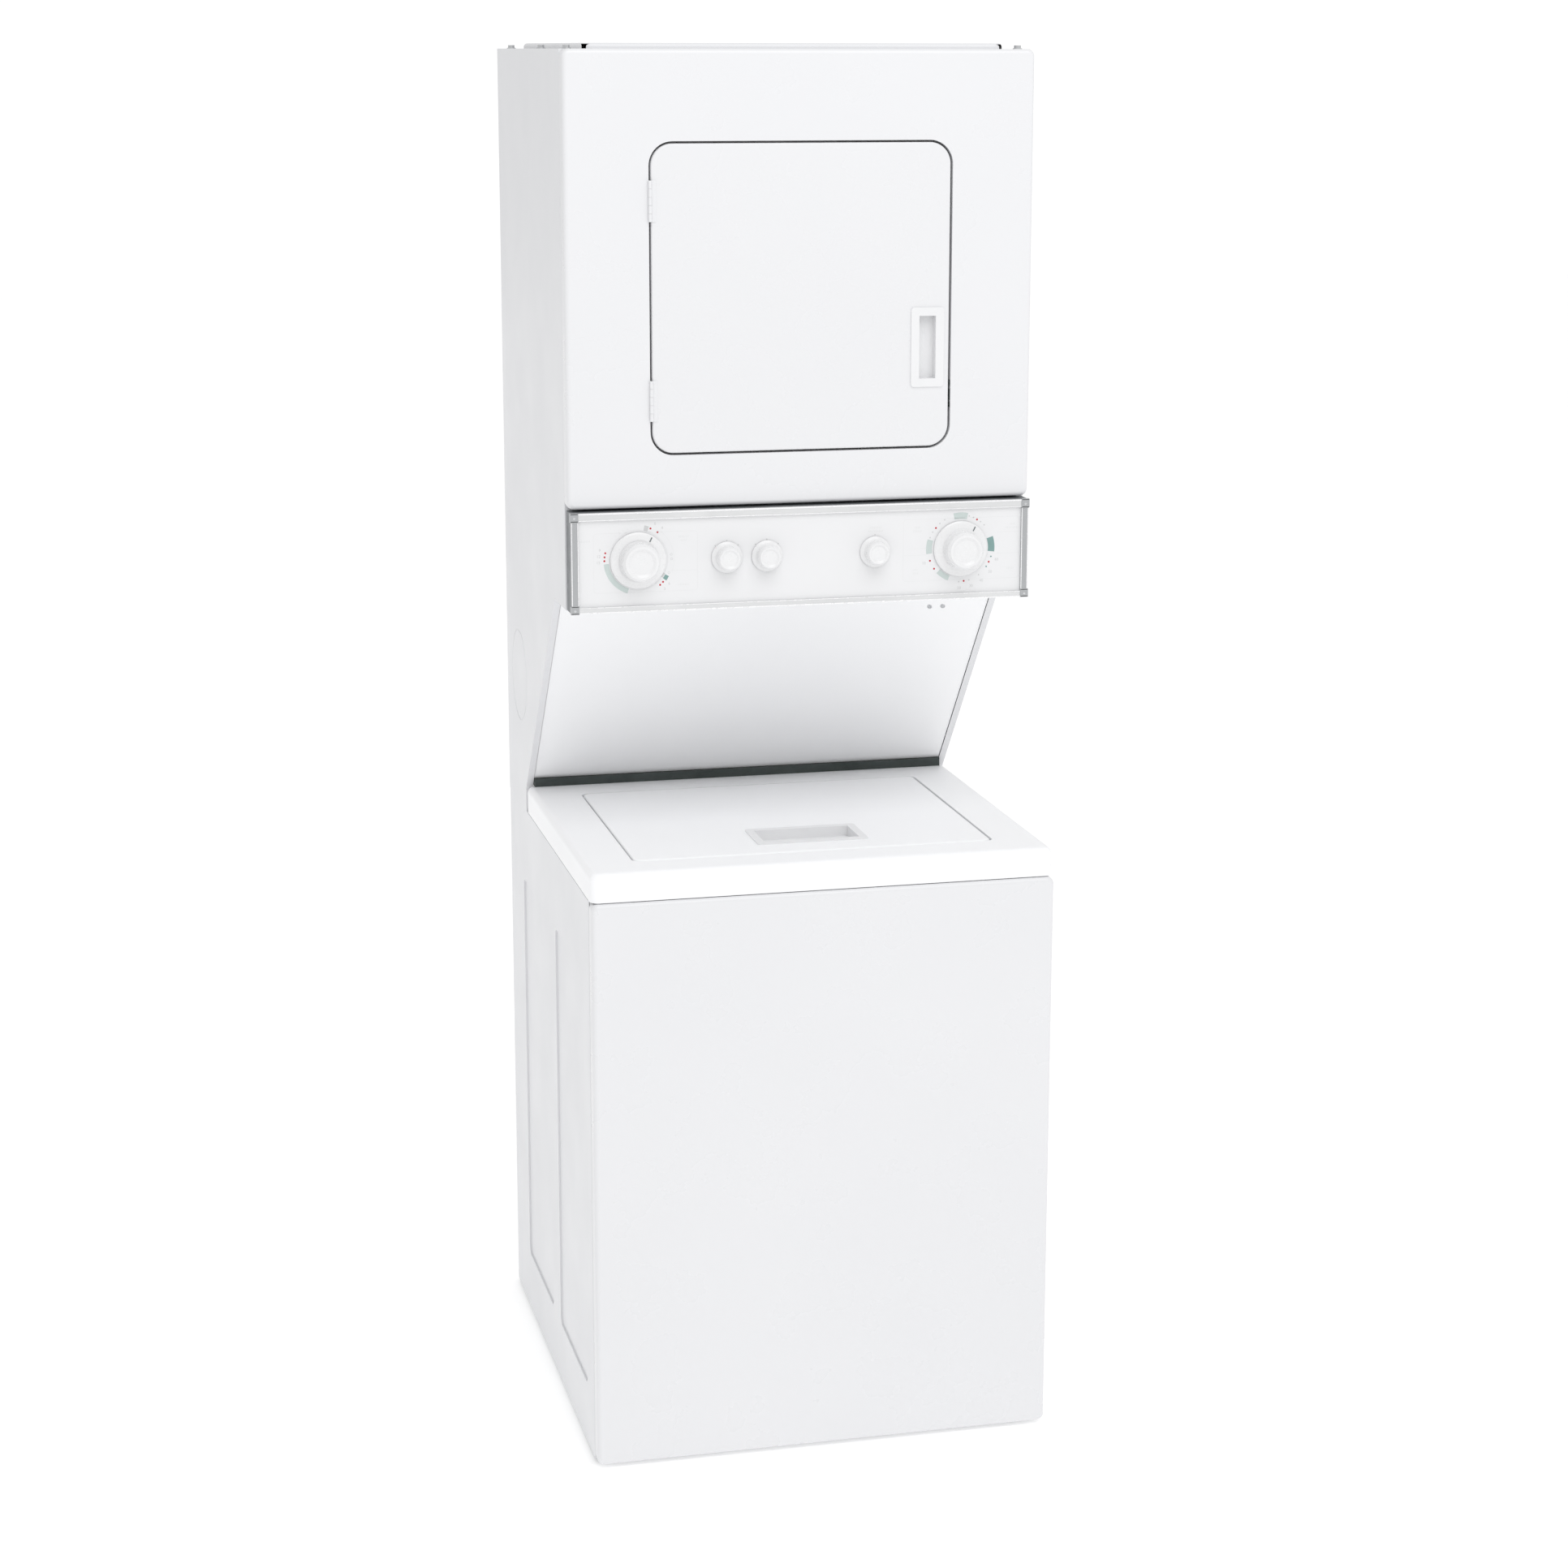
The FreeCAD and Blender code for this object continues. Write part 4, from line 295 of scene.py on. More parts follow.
WHITE_SHEET = enamel("white_enamel_sheet", (0.768, 0.771, 0.786), (0.755, 0.759, 0.775),
                     (0.24, 0.34), 260, (0.90, 0.90, 0.91), 3.0, 0.0022)
# painted light: the washer's top and lid get a much whiter enamel than the front, standing in for the
# light the dryer above keeps off them
WHITE_TOP_PAINTED_LIGHT = enamel("white_enamel_top_painted_light", (0.930, 0.934, 0.946), (0.915, 0.919, 0.932),
                   (0.28, 0.38), 240, (0.95, 0.95, 0.95), 4.0, 0.0025)
WHITE_SIDE = enamel("white_enamel_side", (0.750, 0.754, 0.770), (0.735, 0.740, 0.757),
                    (0.30, 0.42), 250, (0.88, 0.88, 0.89), 2.6, 0.0018)
WHITE_DOOR = enamel("white_enamel_door", (0.764, 0.767, 0.780), (0.752, 0.755, 0.770),
                    (0.22, 0.32), 260, (0.90, 0.90, 0.91), 3.4, 0.0020)
# painted light: the slope panel gets the same whiter enamel, standing in for the light its sheltered,
# downward-facing surface misses
WHITE_SLOPE_PAINTED_LIGHT = enamel("white_enamel_slope_painted_light", (0.935, 0.938, 0.948), (0.920, 0.924, 0.936),
                     (0.28, 0.38), 260, (0.95, 0.95, 0.95), 3.4, 0.0020)
PORCELAIN = glazed("porcelain_liner", (0.76, 0.77, 0.79))
BASKET = glazed("porcelain_basket", (0.77, 0.78, 0.80))
MOULDED = finish("moulded_white", (0.790, 0.792, 0.802), (0.774, 0.777, 0.788), (0.30, 0.42),
                 1500, 0.00003, worn=(0.94, 0.94, 0.94), wear=0.4, patch=18.0, width=0.0009)
KNOB_WHITE = finish("knob_white", (0.790, 0.791, 0.797), (0.775, 0.777, 0.785), (0.24, 0.34),
                    1800, 0.00002, worn=(0.95, 0.95, 0.95), wear=0.45, patch=30.0, width=0.0010,
                    coat=0.15, coat_rough=0.2)
FACE_PLATE = finish("panel_face", (0.778, 0.780, 0.790), (0.766, 0.769, 0.779), (0.34, 0.46),
                    2600, 0.00003, wear=0.1, patch=9.0)
TRAY_PLASTIC = finish("panel_tray", (0.20, 0.21, 0.22), (0.15, 0.16, 0.17), (0.40, 0.55),
                      1500, 0.00004, worn=(0.30, 0.31, 0.32), patch=14.0)
# painted shade at the trim's two ends comes in through dark_ends
RAIL_METAL = finish("brushed_rail", (0.74, 0.745, 0.75), (0.68, 0.685, 0.69), (0.30, 0.42),
                    600, 0.00001, worn=(0.93, 0.93, 0.93), wear=0.6, patch=20.0, width=0.0010,
                    metallic=0.65, over=dark_ends)
ZINC = finish("zinc_sheet", (0.60, 0.62, 0.64), (0.52, 0.54, 0.56), (0.32, 0.48),
              500, 0.00002, worn=(0.78, 0.78, 0.78), wear=0.5, patch=7.0, metallic=0.9, over=spangle)
BRIGHT_STEEL = finish("bright_steel", (0.62, 0.63, 0.64), (0.54, 0.55, 0.56), (0.22, 0.34),
                      900, 0.00002, worn=(0.82, 0.82, 0.82), wear=0.6, patch=30.0, metallic=1.0)
CAST = finish("cast_alloy", (0.50, 0.51, 0.52), (0.40, 0.41, 0.42), (0.45, 0.62),
              350, 0.0002, worn=(0.72, 0.72, 0.73), wear=0.6, patch=16.0, metallic=0.85)
MOTOR_BLACK = finish("motor_enamel", (0.055, 0.057, 0.06), (0.035, 0.036, 0.038), (0.35, 0.50),
                     400, 0.00008, worn=(0.22, 0.22, 0.22), wear=0.7, patch=12.0)
RUBBER = finish("dark_rubber", (0.030, 0.040, 0.038), (0.046, 0.058, 0.055), (0.55, 0.75),
                800, 0.00008, worn=(0.10, 0.11, 0.11), wear=0.6, patch=22.0)
RIBBED_RUBBER = finish("ribbed_rubber", (0.035, 0.035, 0.036), (0.055, 0.055, 0.056), (0.5, 0.7),
                       700, 0.00006, worn=(0.11, 0.11, 0.11), wear=0.5, patch=20.0, over=ribs)
FELT_SEAL = finish("door_gasket", (0.42, 0.43, 0.44), (0.34, 0.35, 0.36), (0.75, 0.92),
                   1600, 0.0003, wear=0.1, patch=30.0)
GREY_PLASTIC = finish("grey_plastic", (0.24, 0.25, 0.26), (0.18, 0.19, 0.20), (0.38, 0.55),
                      1300, 0.00005, worn=(0.36, 0.37, 0.38), patch=20.0)
SCREEN = finish("filter_screen", (0.70, 0.71, 0.72), (0.60, 0.61, 0.63), (0.4, 0.55),
                1200, 0.00004, wear=0.2, patch=20.0, over=woven)
BRIGHT_LINE = finish("bright_edge", (0.90, 0.90, 0.905), (0.84, 0.84, 0.85), (0.22, 0.32),
                     900, 0.00001, worn=(0.97, 0.97, 0.97), patch=25.0, metallic=0.25)
TEAL = ink("print_light_teal", (0.560, 0.628, 0.612), (0.530, 0.600, 0.585))
DEEP_TEAL = ink("print_deep_teal", (0.215, 0.350, 0.335), (0.190, 0.320, 0.305))
RED_INK = ink("print_red", (0.52, 0.010, 0.022), (0.45, 0.008, 0.018))
ORANGE_INK = ink("print_orange", (0.62, 0.10, 0.04), (0.55, 0.085, 0.035))
GREY_INK = ink("print_grey", (0.60, 0.605, 0.61), (0.56, 0.565, 0.57))
PALE_INK = ink("print_pale", (0.74, 0.745, 0.75), (0.72, 0.725, 0.73))
DARK_INK = ink("print_dark", (0.14, 0.16, 0.165), (0.11, 0.13, 0.135))

WEARS = {
    WHITE_SHEET: "washer_front_panel dryer_front_panel hinge_frame_leaves hinge_door_leaves",
    WHITE_DOOR: "door_outer",
    WHITE_SLOPE_PAINTED_LIGHT: "sloped_panel",
    WHITE_SIDE: "washer_cabinet dryer_side_left dryer_side_right dryer_top",
    WHITE_TOP_PAINTED_LIGHT: "washer_top washer_lid",
    PORCELAIN: "door_inner front_bulkhead dryer_drum",
    BASKET: "wash_basket",
    MOULDED: "door_handle lid_handle outer_tub agitator balance_ring blower_housing",
    KNOB_WHITE: "washer_timer_dial washer_timer_knob dryer_timer_knob temp_knob load_knob start_knob",
    FACE_PLATE: "control_face",
    TRAY_PLASTIC: "control_housing",
    RAIL_METAL: "panel_trim",
    ZINC: "washer_base dryer_back_panel rear_bulkhead exhaust_duct cord_gland",
    BRIGHT_STEEL: "suspension_rods screws hinge_pins door_catch dryer_motor_shaft",
    CAST: "gearcase drive_pulley washer_motor_pulley",
    MOTOR_BLACK: "dryer_motor washer_motor",
    RUBBER: "seal_strip levelling_feet",
    RIBBED_RUBBER: "washer_belt dryer_belt drain_hoses",
    FELT_SEAL: "door_seal",
    GREY_PLASTIC: "switch_cases door_switch_plunger lid_switch_plunger blower_wheel drain_pump "
                  "water_valve idler_wheel",
    SCREEN: "lint_filter",
}


def dress_nodes():
    """Give every CAD node its finish without touching its mesh."""
    for material, names in WEARS.items():
        for name in names.split():
            for slot in NODES[name].material_slots:
                slot.link = "OBJECT"
                slot.material = material


dress_nodes()


# ---- modelling helpers ----

SMOOTH_UNDER = math.radians(35)
FACE_FORWARD = (math.radians(90), 0, 0)


def let_go():
    """Leave edit mode and deselect every object."""
    if bpy.context.object and bpy.context.object.mode != "OBJECT":
        bpy.ops.object.mode_set(mode="OBJECT")
    bpy.ops.object.select_all(action="DESELECT")


def settle():
    """Put the active object's place, turn and scale into its mesh."""
    bpy.ops.object.transform_apply(location=True, rotation=True, scale=True)
    return bpy.context.object


def join(parts):
    let_go()
    for part in parts:
        part.select_set(True)
    bpy.context.view_layer.objects.active = parts[0]
    if len(parts) > 1:
        bpy.ops.object.join()
    return settle()


def hand_over(piece, name, body, material):
    """Name a finished piece, shade it, give it its material and hang it on its body."""
    let_go()
    piece.select_set(True)
    bpy.context.view_layer.objects.active = piece
    bpy.ops.object.shade_smooth_by_angle(angle=SMOOTH_UNDER)
    piece.name = name
    piece.data.name = name
    piece.data.materials.clear()
    piece.data.materials.append(material)
    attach(piece, body)


def round_edges(piece, width, segments):
    rounding = piece.modifiers.new("rounding", "BEVEL")
    rounding.width = width
    rounding.segments = segments
    bpy.ops.object.modifier_apply(modifier=rounding.name)
    return piece


def middle(node):
    low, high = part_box(node)
    return (low + high) / 2


# ---- helpers for printed marks ----

FACE_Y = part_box("control_face")[0].y
INK = 0.08 * MM
BAR_CORNER = 0.3


def clock(angle):
    """Unit direction on the panel for an angle counted clockwise from the top."""
    turn = math.radians(angle)
    return Vector((math.sin(turn), 0, math.cos(turn)))


def spot_at(centre, reach, angle):
    """Place on the panel, across and up, at a distance and clock angle from a centre."""
    spot = centre + clock(angle) * reach
    return spot.x, spot.z


def thicken():
    """Give the active flat piece the thickness of ink, on its front side."""
    piece = bpy.context.object
    solid = piece.modifiers.new("thickness", "SOLIDIFY")
    solid.thickness = INK
    solid.offset = 1.0
    bpy.ops.object.modifier_apply(modifier=solid.name)
    return piece


def ink_dot(centre, reach, angle, radius):
    x, z = spot_at(centre, reach, angle)
    bpy.ops.mesh.primitive_cylinder_add(vertices=20, radius=radius, depth=INK,
                                        location=(x, FACE_Y - INK / 2, z), rotation=FACE_FORWARD)
    return settle()


def ink_band(centre, inner, outer, first, last):
    """A flat printed band round a centre, from one clock angle to another."""
    x, z = spot_at(centre, (inner + outer) / 2, first)
    let_go()
    bpy.ops.mesh.primitive_plane_add(size=1, location=(x, FACE_Y - INK / 2, z),
                                     rotation=(0, math.radians(first - 90), 0))
    bpy.context.object.scale = (outer - inner, INK, 1)
    settle()
    sweep = last - first
    bpy.ops.object.mode_set(mode="EDIT")
    bpy.ops.mesh.select_all(action="SELECT")
    bpy.ops.mesh.spin(steps=max(4, int(abs(sweep) / 4)), angle=math.radians(sweep),
                      center=(centre.x, FACE_Y, centre.z), axis=(0, -1, 0))
    bpy.ops.mesh.select_all(action="SELECT")
    bpy.ops.mesh.normals_make_consistent(inside=False)
    bpy.ops.object.mode_set(mode="OBJECT")
    return bpy.context.object


def ink_ring(centre, reach, angle, radius, line):
    """A small printed circle."""
    spot = centre + clock(angle) * reach
    return ink_band(spot, radius - line, radius, 0, 359.9)


def ink_bar(x, z, wide, tall, turn=0.0, lift=0.0, rise=0.0):
    """A short printed bar with cut corners, centred at x and z; rise lifts its inner end."""
    let_go()
    bpy.ops.mesh.primitive_plane_add(size=1, location=(x, FACE_Y - lift, z),
                                     rotation=(math.radians(90), math.radians(turn), 0))
    bar = bpy.context.object
    bar.scale = (wide, tall, 1)
    settle()
    bpy.ops.object.mode_set(mode="EDIT")
    bpy.ops.mesh.select_all(action="DESELECT")
    bpy.ops.object.mode_set(mode="OBJECT")
    for vertex in bar.data.vertices:
        vertex.select = (vertex.co - Vector((x, 0, z))).dot(clock(turn)) < 0
    bpy.ops.object.mode_set(mode="EDIT")
    bpy.ops.transform.translate(value=(0, -rise, 0))
    bpy.ops.mesh.select_all(action="SELECT")
    bpy.ops.mesh.bevel(offset=min(wide, tall) * BAR_CORNER, affect="VERTICES", segments=2)
    bpy.ops.object.mode_set(mode="OBJECT")
    return thicken()


def ink_frame(low, high, corner, line):
    """A thin printed outline with rounded corners, given by two opposite corners."""
    let_go()
    x, z = (low[0] + high[0]) / 2, (low[1] + high[1]) / 2
    bpy.ops.mesh.primitive_plane_add(size=1, location=(x, FACE_Y, z), rotation=FACE_FORWARD)
    bpy.context.object.scale = (high[0] - low[0], high[1] - low[1], 1)
    settle()
    bpy.ops.object.mode_set(mode="EDIT")
    bpy.ops.mesh.select_all(action="SELECT")
    bpy.ops.mesh.bevel(offset=corner, affect="VERTICES", segments=5)
    bpy.ops.mesh.select_all(action="SELECT")
    bpy.ops.mesh.inset(thickness=line)
    bpy.ops.mesh.delete(type="FACE")
    bpy.ops.object.mode_set(mode="OBJECT")
    return thicken()


def ink_number(number, x, z, tall):
    """A printed numeral."""
    let_go()
    bpy.ops.object.text_add(location=(x, FACE_Y, z), rotation=FACE_FORWARD)
    text = bpy.context.object
    text.data.body = str(number)
    text.data.size = tall
    text.data.align_x = "CENTER"
    text.data.align_y = "CENTER"
    text.data.resolution_u = 2
    text.data.extrude = INK
    bpy.ops.object.convert(target="MESH")
    return settle()


# ---- printing on the control panel ----

NUMERAL_TALL = 5.2 * MM


def print_on_panel(marks, name, material):
    hand_over(join(marks), name, "cabinet", material)


def washer_dial_print():
    """Dots, bands, numerals and fine arcs round the washer's dial."""
    centre = middle("washer_timer_dial")
    dot_reach, dot_radius = 43.2 * MM, 1.25 * MM
    print_on_panel([ink_dot(centre, dot_reach, angle, dot_radius)
                    for angle in (270.5, 277, 284, 22.3, 36, 132, 139)],
                   "washer_dial_red_marks", RED_INK)
    print_on_panel([ink_band(centre, 37.6 * MM, 44.3 * MM, 198.5, 265)],
                   "washer_dial_light_band", TEAL)
    print_on_panel([ink_band(centre, 40.0 * MM, 45.4 * MM, 118.8, 127.0)],
                   "washer_dial_deep_band", DEEP_TEAL)
    grey = [ink_band(centre, 38.2 * MM, 45.0 * MM, 11.0, 18.6),
            ink_band(centre, 36.6 * MM, 39.4 * MM, 117, 127)]
    ring_reach, ring_radius, ring_line = 43.4 * MM, 1.5 * MM, 0.4 * MM
    grey += [ink_ring(centre, ring_reach, angle, ring_radius, ring_line)
             for angle in (82, 89.6, 113.6)]
    numeral_reach = 51 * MM
    grey += [ink_number(number, *spot_at(centre, numeral_reach, angle), NUMERAL_TALL)
             for number, angle in ((15, 268), (12, 277), (9, 286), (8, 26), (4, 38),
                                   (6, 128), (3, 138))]
    print_on_panel(grey, "washer_dial_grey_marks", GREY_INK)
    arc_inner, arc_outer = 38.3 * MM, 38.8 * MM
    pale = [ink_band(centre, arc_inner, arc_outer, 300, 369),
            ink_band(centre, arc_inner, arc_outer, 20, 116),
            ink_band(centre, 46.4 * MM, 46.8 * MM, 40, 110),
            ink_band(centre, arc_inner, arc_outer, 130, 196)]
    tick_reach, tick_wide, tick_tall = 42.5 * MM, 0.5 * MM, 2.4 * MM
    pale += [ink_bar(*spot_at(centre, tick_reach, angle), tick_wide, tick_tall, angle)
             for angle in range(318, 366, 8)]
    print_on_panel(pale, "washer_dial_pale_marks", PALE_INK)


def dryer_dial_print():
    """Dots, bands, numerals and fine arcs round the dryer's dial."""
    centre = middle("dryer_timer_knob")
    dot_reach, dot_radius = 43.2 * MM, 1.25 * MM
    print_on_panel([ink_dot(centre, dot_reach, angle, dot_radius)
                    for angle in (31, 310, 250, 234, 173, 116)],
                   "dryer_dial_red_marks", RED_INK)
    print_on_panel([ink_band(centre, 38.6 * MM, 47.0 * MM, 348, 372.5),
                    ink_band(centre, 38.2 * MM, 46.0 * MM, 262.5, 287),
                    ink_band(centre, 37.6 * MM, 44.6 * MM, 201.5, 225.5)],
                   "dryer_dial_light_bands", TEAL)
    print_on_panel([ink_band(centre, 37.6 * MM, 46.4 * MM, 71.5, 97)],
                   "dryer_dial_deep_band", DEEP_TEAL)
    dark_reach, dark_radius = 43.4 * MM, 1.05 * MM
    print_on_panel([ink_dot(centre, dark_reach, angle, dark_radius) for angle in (106, 125)],
                   "dryer_dial_dark_marks", DEEP_TEAL)
    grey_reach, grey_radius = 43.6 * MM, 0.95 * MM
    grey = [ink_dot(centre, grey_reach, angle, grey_radius)
            for angle in (15.5, 23.5, 38.5, 47, 144.5, 163.6, 182, 330.6, 320.3, 301.2, 290.7)]
    numeral_reach = 52 * MM
    grey += [ink_number(number, *spot_at(centre, numeral_reach, angle), NUMERAL_TALL)
             for number, angle in ((60, 108), (50, 128), (40, 146), (30, 163), (20, 181),
                                   (10, 250))]
    print_on_panel(grey, "dryer_dial_grey_marks", GREY_INK)
    print_on_panel([ink_band(centre, 36.9 * MM, 37.3 * MM, first, last)
                    for first, last in ((200, 228), (345, 376))],
                   "dryer_dial_pale_marks", PALE_INK)


LETTER = 1.5 * MM
LETTER_STEP = LETTER * 1.35
LETTER_WIDE = LETTER * 0.62
LETTER_TALL = 3.0 * MM
LETTER_LEAN = 12
ROW_GAP = 4.6 * MM


def word_bars(x, z, lengths):
    """Rows of short leaning strokes, low and high in turn, in place of small print."""
    strokes = []
    for row, letters in enumerate(lengths):
        for index in range(letters):
            shift = (index - (letters - 1) / 2) * LETTER_STEP
            tall = LETTER_TALL * (0.75 + 0.25 * (index % 2))
            strokes.append(ink_bar(x + shift, z - row * ROW_GAP, LETTER_WIDE, tall, LETTER_LEAN))
    return strokes


def plate_print():
    """Section frames, position dots over the small knobs and strokes in place of small print."""
    corner, rule = 4 * MM, 0.35 * MM
    frames = [ink_frame((-0.2720, 1.1290), (-0.1378, 1.2055), corner, rule),
              ink_frame((0.1334, 1.1290), (0.2900, 1.2100), corner, rule)]
    frames += [ink_bar(-0.1640, 1.1552, 50 * MM, rule), ink_bar(-0.2250, 1.1270, rule, 12 * MM)]
    frames += [ink_bar(x, z, 30 * MM, rule)
               for x, z in ((0.1490, 1.1716), (0.1490, 1.1630), (0.2740, 1.1900), (0.2740, 1.1620))]
    print_on_panel(frames, "panel_section_lines", PALE_INK)
    dots = []
    for node in ("temp_knob", "load_knob"):
        dots += [ink_dot(middle(node), 21.2 * MM, angle, 0.85 * MM) for angle in (315, 0, 45)]
    dots.append(ink_dot(middle("start_knob"), 22 * MM, 0, 0.9 * MM))
    print_on_panel(dots, "panel_position_dots", GREY_INK)
    rows = [(-0.2830, 1.1960, (7,)), (-0.1560, 1.1985, (7, 4)), (-0.1560, 1.1370, (7,)),
            (-0.0960, 1.1480, (9,)), (-0.0430, 1.1480, (8,)), (0.0960, 1.1480, (5,)),
            (0.1520, 1.1990, (4, 6)), (0.2800, 1.2000, (4, 9)), (0.1500, 1.1440, (3, 4)),
            (0.2780, 1.1420, (5,)), (0.0960, 1.2010, (8, 10))]
    strokes = []
    for x, z, lengths in rows:
        strokes += word_bars(x, z, lengths)
    print_on_panel(strokes, "panel_small_print", PALE_INK)


washer_dial_print()
dryer_dial_print()
plate_print()


# ---- pointers on the knobs ----

DIAL_SKIRT = (27.6 * MM, 34.0 * MM, 6.6 * MM, 4.7 * MM)
KNOB_SKIRT = (16.0 * MM, 19.4 * MM, 5.0 * MM, 2.8 * MM)


def pointer(name, knob, skirt, angle, wide, material):
    """A thin printed line down the slope of a knob's skirt, and riding on that knob.

    A skirt is the slope's inner and outer reach, and its height over the plate at each."""
    inner, outer, inner_lift, outer_lift = skirt
    x, z = spot_at(middle(knob), (inner + outer) / 2, angle)
    line = ink_bar(x, z, wide, outer - inner, angle, outer_lift, inner_lift - outer_lift)
    hand_over(line, name, knob, material)


pointer("washer_dial_pointer", "washer_timer_dial", DIAL_SKIRT, 30.6, 1.5 * MM, DARK_INK)
pointer("dryer_dial_pointer", "dryer_timer_knob", DIAL_SKIRT, 33.4, 1.5 * MM, DARK_INK)
pointer("temp_pointer", "temp_knob", KNOB_SKIRT, 311, 1.7 * MM, ORANGE_INK)
pointer("load_pointer", "load_knob", KNOB_SKIRT, 311, 1.5 * MM, DARK_INK)


# ---- bright lines of the panel frame ----

BEAD_SOFT = 0.3 * MM


def bead(low, high, soft=BEAD_SOFT):
    """A long bar between two corners, its edges rounded."""
    let_go()
    bpy.ops.mesh.primitive_cube_add(size=1, location=[(a + b) / 2 for a, b in zip(low, high)])
    bar = bpy.context.object
    bar.scale = [b - a for a, b in zip(low, high)]
    settle()
    return round_edges(bar, soft, 2)


def between(side, start, end):
    """The two ends of a span across, in rising order, on the left (-1) or right (1) side."""
    return sorted((side * start, side * end))


def frame_lines():
    """Raised bright lines along the rails, the end strips and the corner caps."""
    low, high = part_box("panel_trim")
    front = low.y + 1.0 * MM
    proud, back = front - 0.7 * MM, front + 0.5 * MM
    inner = high.x - 10.5 * MM
    bars = []
    for base, tall in ((high.z - 2.6 * MM, 2.0 * MM), (high.z - 10.4 * MM, 0.9 * MM),
                       (low.z + 0.6 * MM, 1.6 * MM), (low.z + 7.4 * MM, 0.9 * MM)):
        bars.append(bead((-inner, proud, base), (inner, back, base + tall)))
    strip_base, strip_top, strip_line = low.z + 11 * MM, high.z - 12 * MM, 1.1 * MM
    cap_line = 1.4 * MM
    for side in (-1, 1):
        for start in (0.2 * MM, 8.1 * MM):
            near, far = between(side, inner + start, inner + start + strip_line)
            bars.append(bead((near, proud, strip_base), (far, back, strip_top)))
        near, far = between(side, inner + 0.3 * MM, high.x - 0.4 * MM)
        for base in (low.z + 9.2 * MM, low.z + 0.4 * MM, high.z - 11.2 * MM, high.z - 1.8 * MM):
            bars.append(bead((near, low.y, base), (far, front, base + cap_line)))
    hand_over(join(bars), "panel_frame_lines", "cabinet", BRIGHT_LINE)


# ---- small fasteners, and painted shade in the door's latch gap and the basket's holes ----

def round_head(place, turn, radius, thick, soft, segments):
    """A low round head with a softened rim."""
    let_go()
    bpy.ops.mesh.primitive_cylinder_add(vertices=24, radius=radius, depth=thick, location=place,
                                        rotation=turn)
    return round_edges(settle(), soft, segments)


def cap_rivets():
    """A rivet in each corner cap of the panel frame."""
    low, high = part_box("panel_trim")
    across = high.x - 5.2 * MM
    heads = [round_head((side * across, low.y + 0.45 * MM, z), FACE_FORWARD, 1.9 * MM, 1.0 * MM,
                        0.4 * MM, 2)
             for side in (-1, 1) for z in (low.z + 5 * MM, high.z - 6 * MM)]
    hand_over(join(heads), "panel_cap_rivets", "cabinet", BRIGHT_STEEL)


def slope_screws():
    """Two screws just under the control panel, where the slope panel ends."""
    low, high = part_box("sloped_panel")
    lean = math.atan2(high.y - low.y, high.z - low.z)
    turn = (math.radians(90) - lean, 0, 0)
    down, proud = 22 * MM, 0.4 * MM
    radius, thick = 3.4 * MM, 1.6 * MM
    heads = []
    for across in (0.186, 0.204):
        spot = Vector((across, low.y + down * math.tan(lean) + proud, high.z - down))
        heads.append(round_head(spot, turn, radius, thick, thick * 0.45, 3))
    hand_over(join(heads), "slope_panel_screws", "cabinet", BRIGHT_STEEL)


def copies_round(first, centre, count, rows, step):
    """Copy a piece round an upright axis, row over row with every other row offset, and join all."""
    parts = [first]
    for row in range(rows):
        for index in range(count):
            if row == 0 and index == 0:
                continue
            copy = first.copy()
            copy.data = first.data.copy()
            bpy.context.collection.objects.link(copy)
            angle = 2 * math.pi * (index + 0.5 * (row % 2)) / count
            turn = Matrix.Rotation(angle, 4, "Z")
            lift = Vector((0, 0, step * row))
            copy.matrix_world = Matrix.Translation(centre + lift) @ turn @ Matrix.Translation(-centre)
            parts.append(copy)
    return join(parts)


def basket_holes():
    """Rows of round drain holes in the basket's wall, drawn as dark discs of painted shade just inside
    it.
    """
    low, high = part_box("wash_basket")
    centre = Vector(((low.x + high.x) / 2, (low.y + high.y) / 2, 0))
    inner_wall = (high.x - low.x) / 2 - 1.2 * MM
    first_row = low.z + 60 * MM
    let_go()
    bpy.ops.mesh.primitive_cylinder_add(vertices=12, radius=2.6 * MM, depth=0.3 * MM,
                                        location=(centre.x + inner_wall - 0.2 * MM, centre.y, first_row),
                                        rotation=(0, math.radians(90), 0))
    holes = copies_round(settle(), centre, count=30, rows=12, step=27 * MM)
    # painted shade: dark grey discs stand for the shade seen through each hole
    hand_over(holes, "basket_hole_painted_shade", "wash_basket", GREY_PLASTIC)


def latch_bits():
    """Dark bars of painted shade in the gap on the latch side of the door."""
    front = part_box("dryer_front_panel")[0].y
    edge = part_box("door_outer")[1].x
    bits = [bead((edge + 1.5 * MM, front + 2.0 * MM, z), (edge + 2.6 * MM, front + 9.0 * MM, z + tall),
                 0.25 * MM)
            for z, tall in ((1.3530, 6 * MM), (1.3620, 14 * MM), (1.3805, 7 * MM))]
    # painted shade: dark rubber bars stand for the shade in the latch-side gap
    hand_over(join(bits), "door_latch_gap_shade", "cabinet", RUBBER)


frame_lines()
cap_rivets()
latch_bits()
slope_screws()
basket_holes()


# ---- floor, lights and camera ----

PAPER_GLOW = 0.30
AIR_LIGHT = 0.77
AIR_SEEN = 1.05


def soft_light(name, place, aim, size, watts):
    data = bpy.data.lights.new(name, "AREA")
    data.shape = "RECTANGLE"
    data.size, data.size_y = size
    data.energy = watts
    lamp = bpy.data.objects.new(name, data)
    bpy.context.collection.objects.link(lamp)
    lamp.location = place
    lamp.rotation_euler = (Vector(aim) - Vector(place)).to_track_quat("-Z", "Y").to_euler()


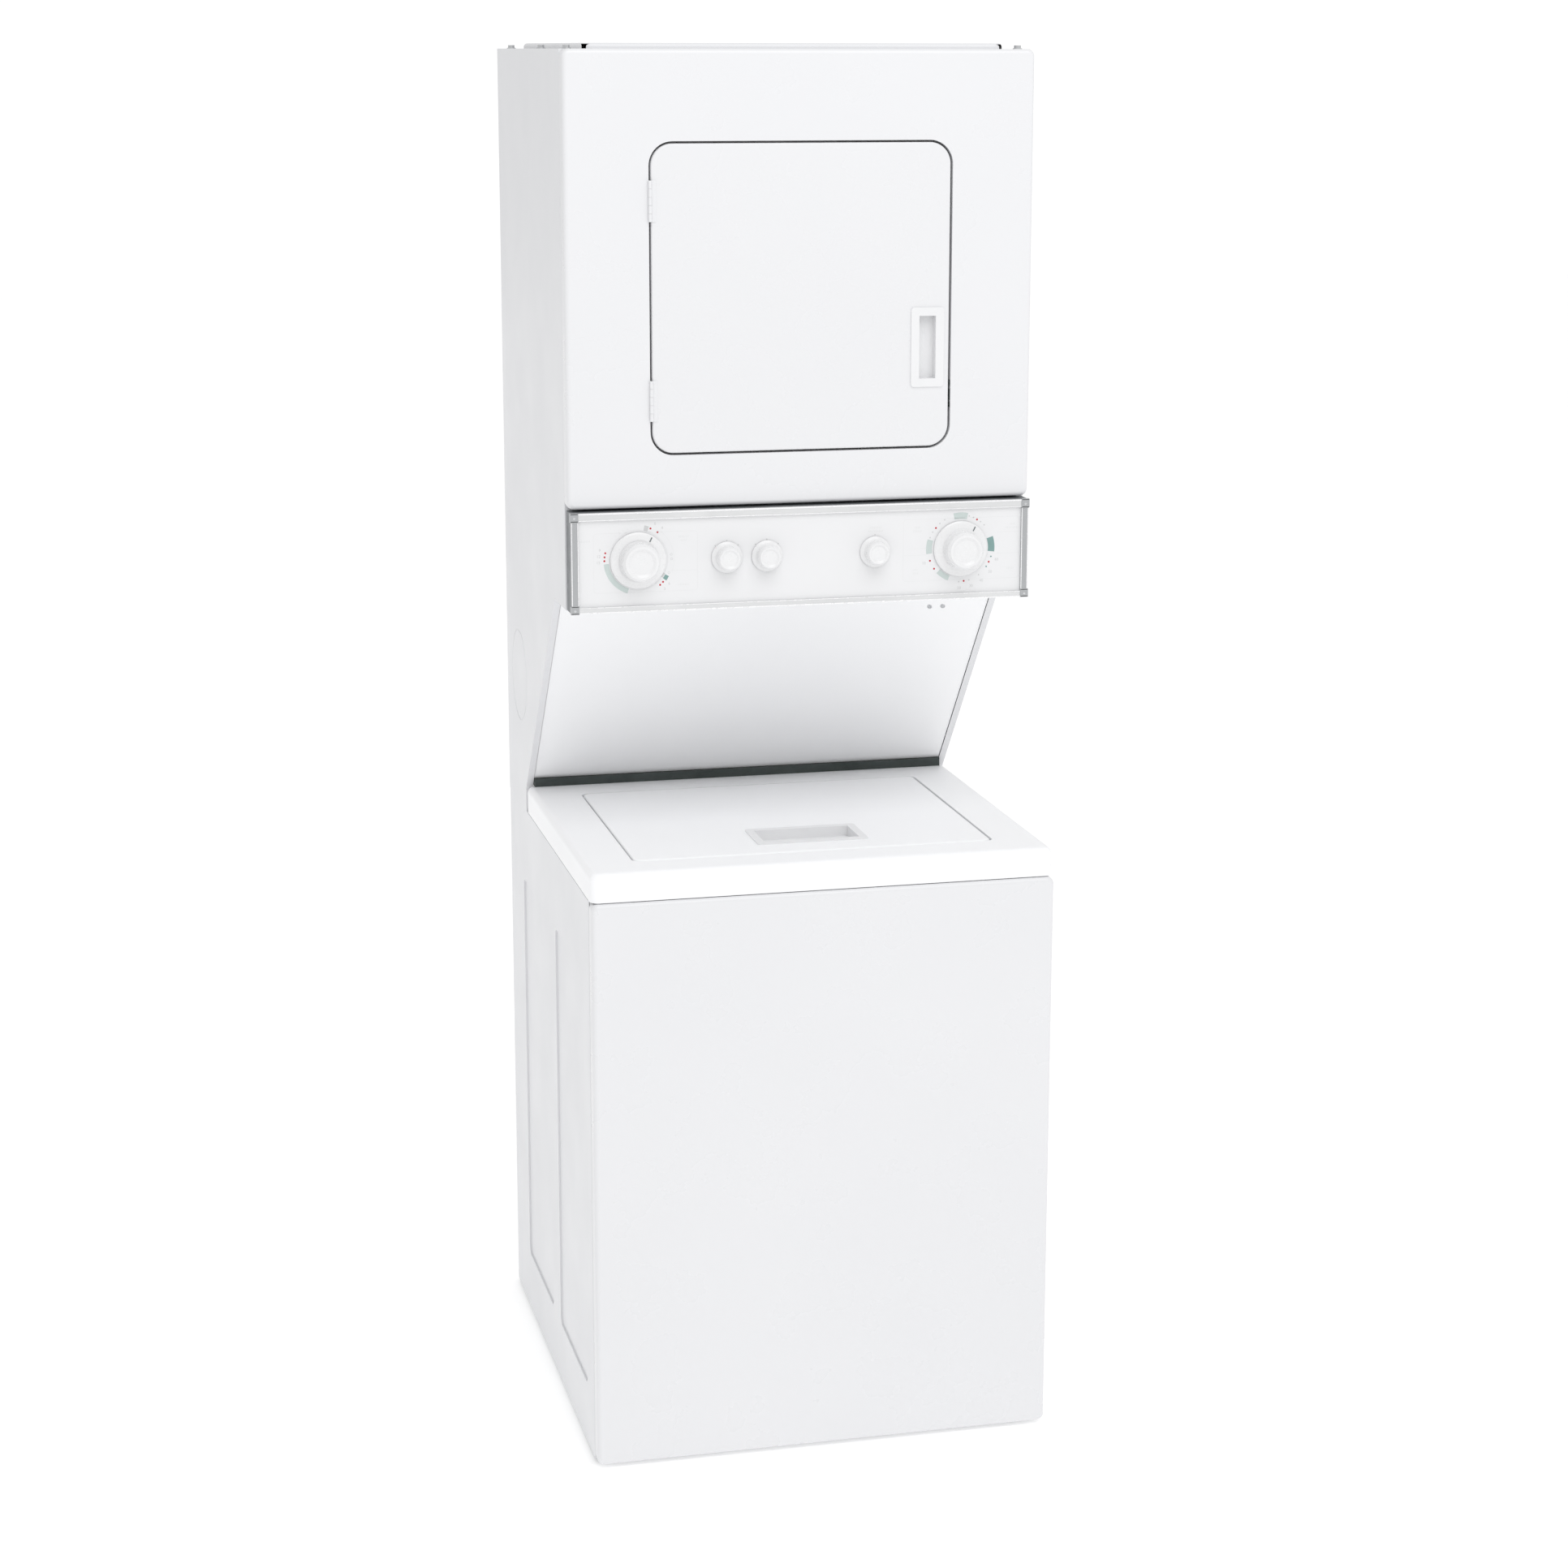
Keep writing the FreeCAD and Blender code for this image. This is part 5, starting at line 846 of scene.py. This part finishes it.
def pale_floor():
    """A wide sheet of pale paper with a faint glow, so that it stays even."""
    let_go()
    bpy.ops.mesh.primitive_plane_add(size=40, location=(0, 0, 0))
    floor = bpy.context.object
    floor.name = "studio_floor"
    material, tree, shader, vector = start_finish("studio_paper")
    mottle = noise_on(tree, vector, 3.0, -450, 0)
    tone = blend_colours(tree, mottle, rgba((0.93, 0.93, 0.93)), rgba((0.92, 0.92, 0.92)), -200, 0)
    feed(tree, shader, "Base Color", tone)
    shader.inputs["Roughness"].default_value = 0.9
    shader.inputs["Emission Color"].default_value = (1, 1, 1, 1)
    shader.inputs["Emission Strength"].default_value = PAPER_GLOW
    floor.data.materials.append(material)


def studio():
    """White air that lights the machine less than it shows, and three soft lights."""
    pale_floor()
    world = bpy.data.worlds.new("studio_air")
    world.use_nodes = True
    tree = world.node_tree
    air = tree.nodes["Background"]
    air.inputs["Color"].default_value = (1, 1, 1, 1)
    ray = add(tree, "ShaderNodeLightPath", -600)
    strength = spread(tree, ray.outputs["Is Camera Ray"], 0, 1, AIR_LIGHT, AIR_SEEN, -300)
    feed(tree, air, "Strength", strength)
    bpy.context.scene.world = world
    soft_light("key_front", (0.6, -5.2, 2.6), (0, 0, 1.0), (3.0, 3.0), 4)
    soft_light("fill_right", (3.6, -2.6, 2.4), (0, 0, 0.9), (2.4, 2.4), 4)
    soft_light("top_wash", (0.2, -2.6, 4.2), (0, -0.1, 0.8), (3.0, 2.4), 52)
    bpy.context.scene.view_settings.view_transform = "Standard"


def camera():
    """Camera at the height of the machine's top, to its left, looking slightly down."""
    place = Vector((-0.9618, -4.0825, 1.8016))
    yaw, pitch, roll = 0.2379, 0.2104, 0.0012
    forward = Vector((math.sin(yaw) * math.cos(pitch), math.cos(yaw) * math.cos(pitch),
                      -math.sin(pitch)))
    level = Vector((math.cos(yaw), -math.sin(yaw), 0))
    upward = level.cross(forward)
    right = level * math.cos(roll) + upward * math.sin(roll)
    up = upward * math.cos(roll) - level * math.sin(roll)
    data = bpy.data.cameras.new("studio_camera")
    data.lens = 72.18
    data.sensor_width = 36
    data.shift_y = -0.04
    data.clip_end = 60
    eye = bpy.data.objects.new("studio_camera", data)
    bpy.context.collection.objects.link(eye)
    stance = Matrix((right, up, -forward)).transposed().to_4x4()
    stance.translation = place
    eye.matrix_world = stance
    bpy.context.scene.camera = eye


studio()
camera()
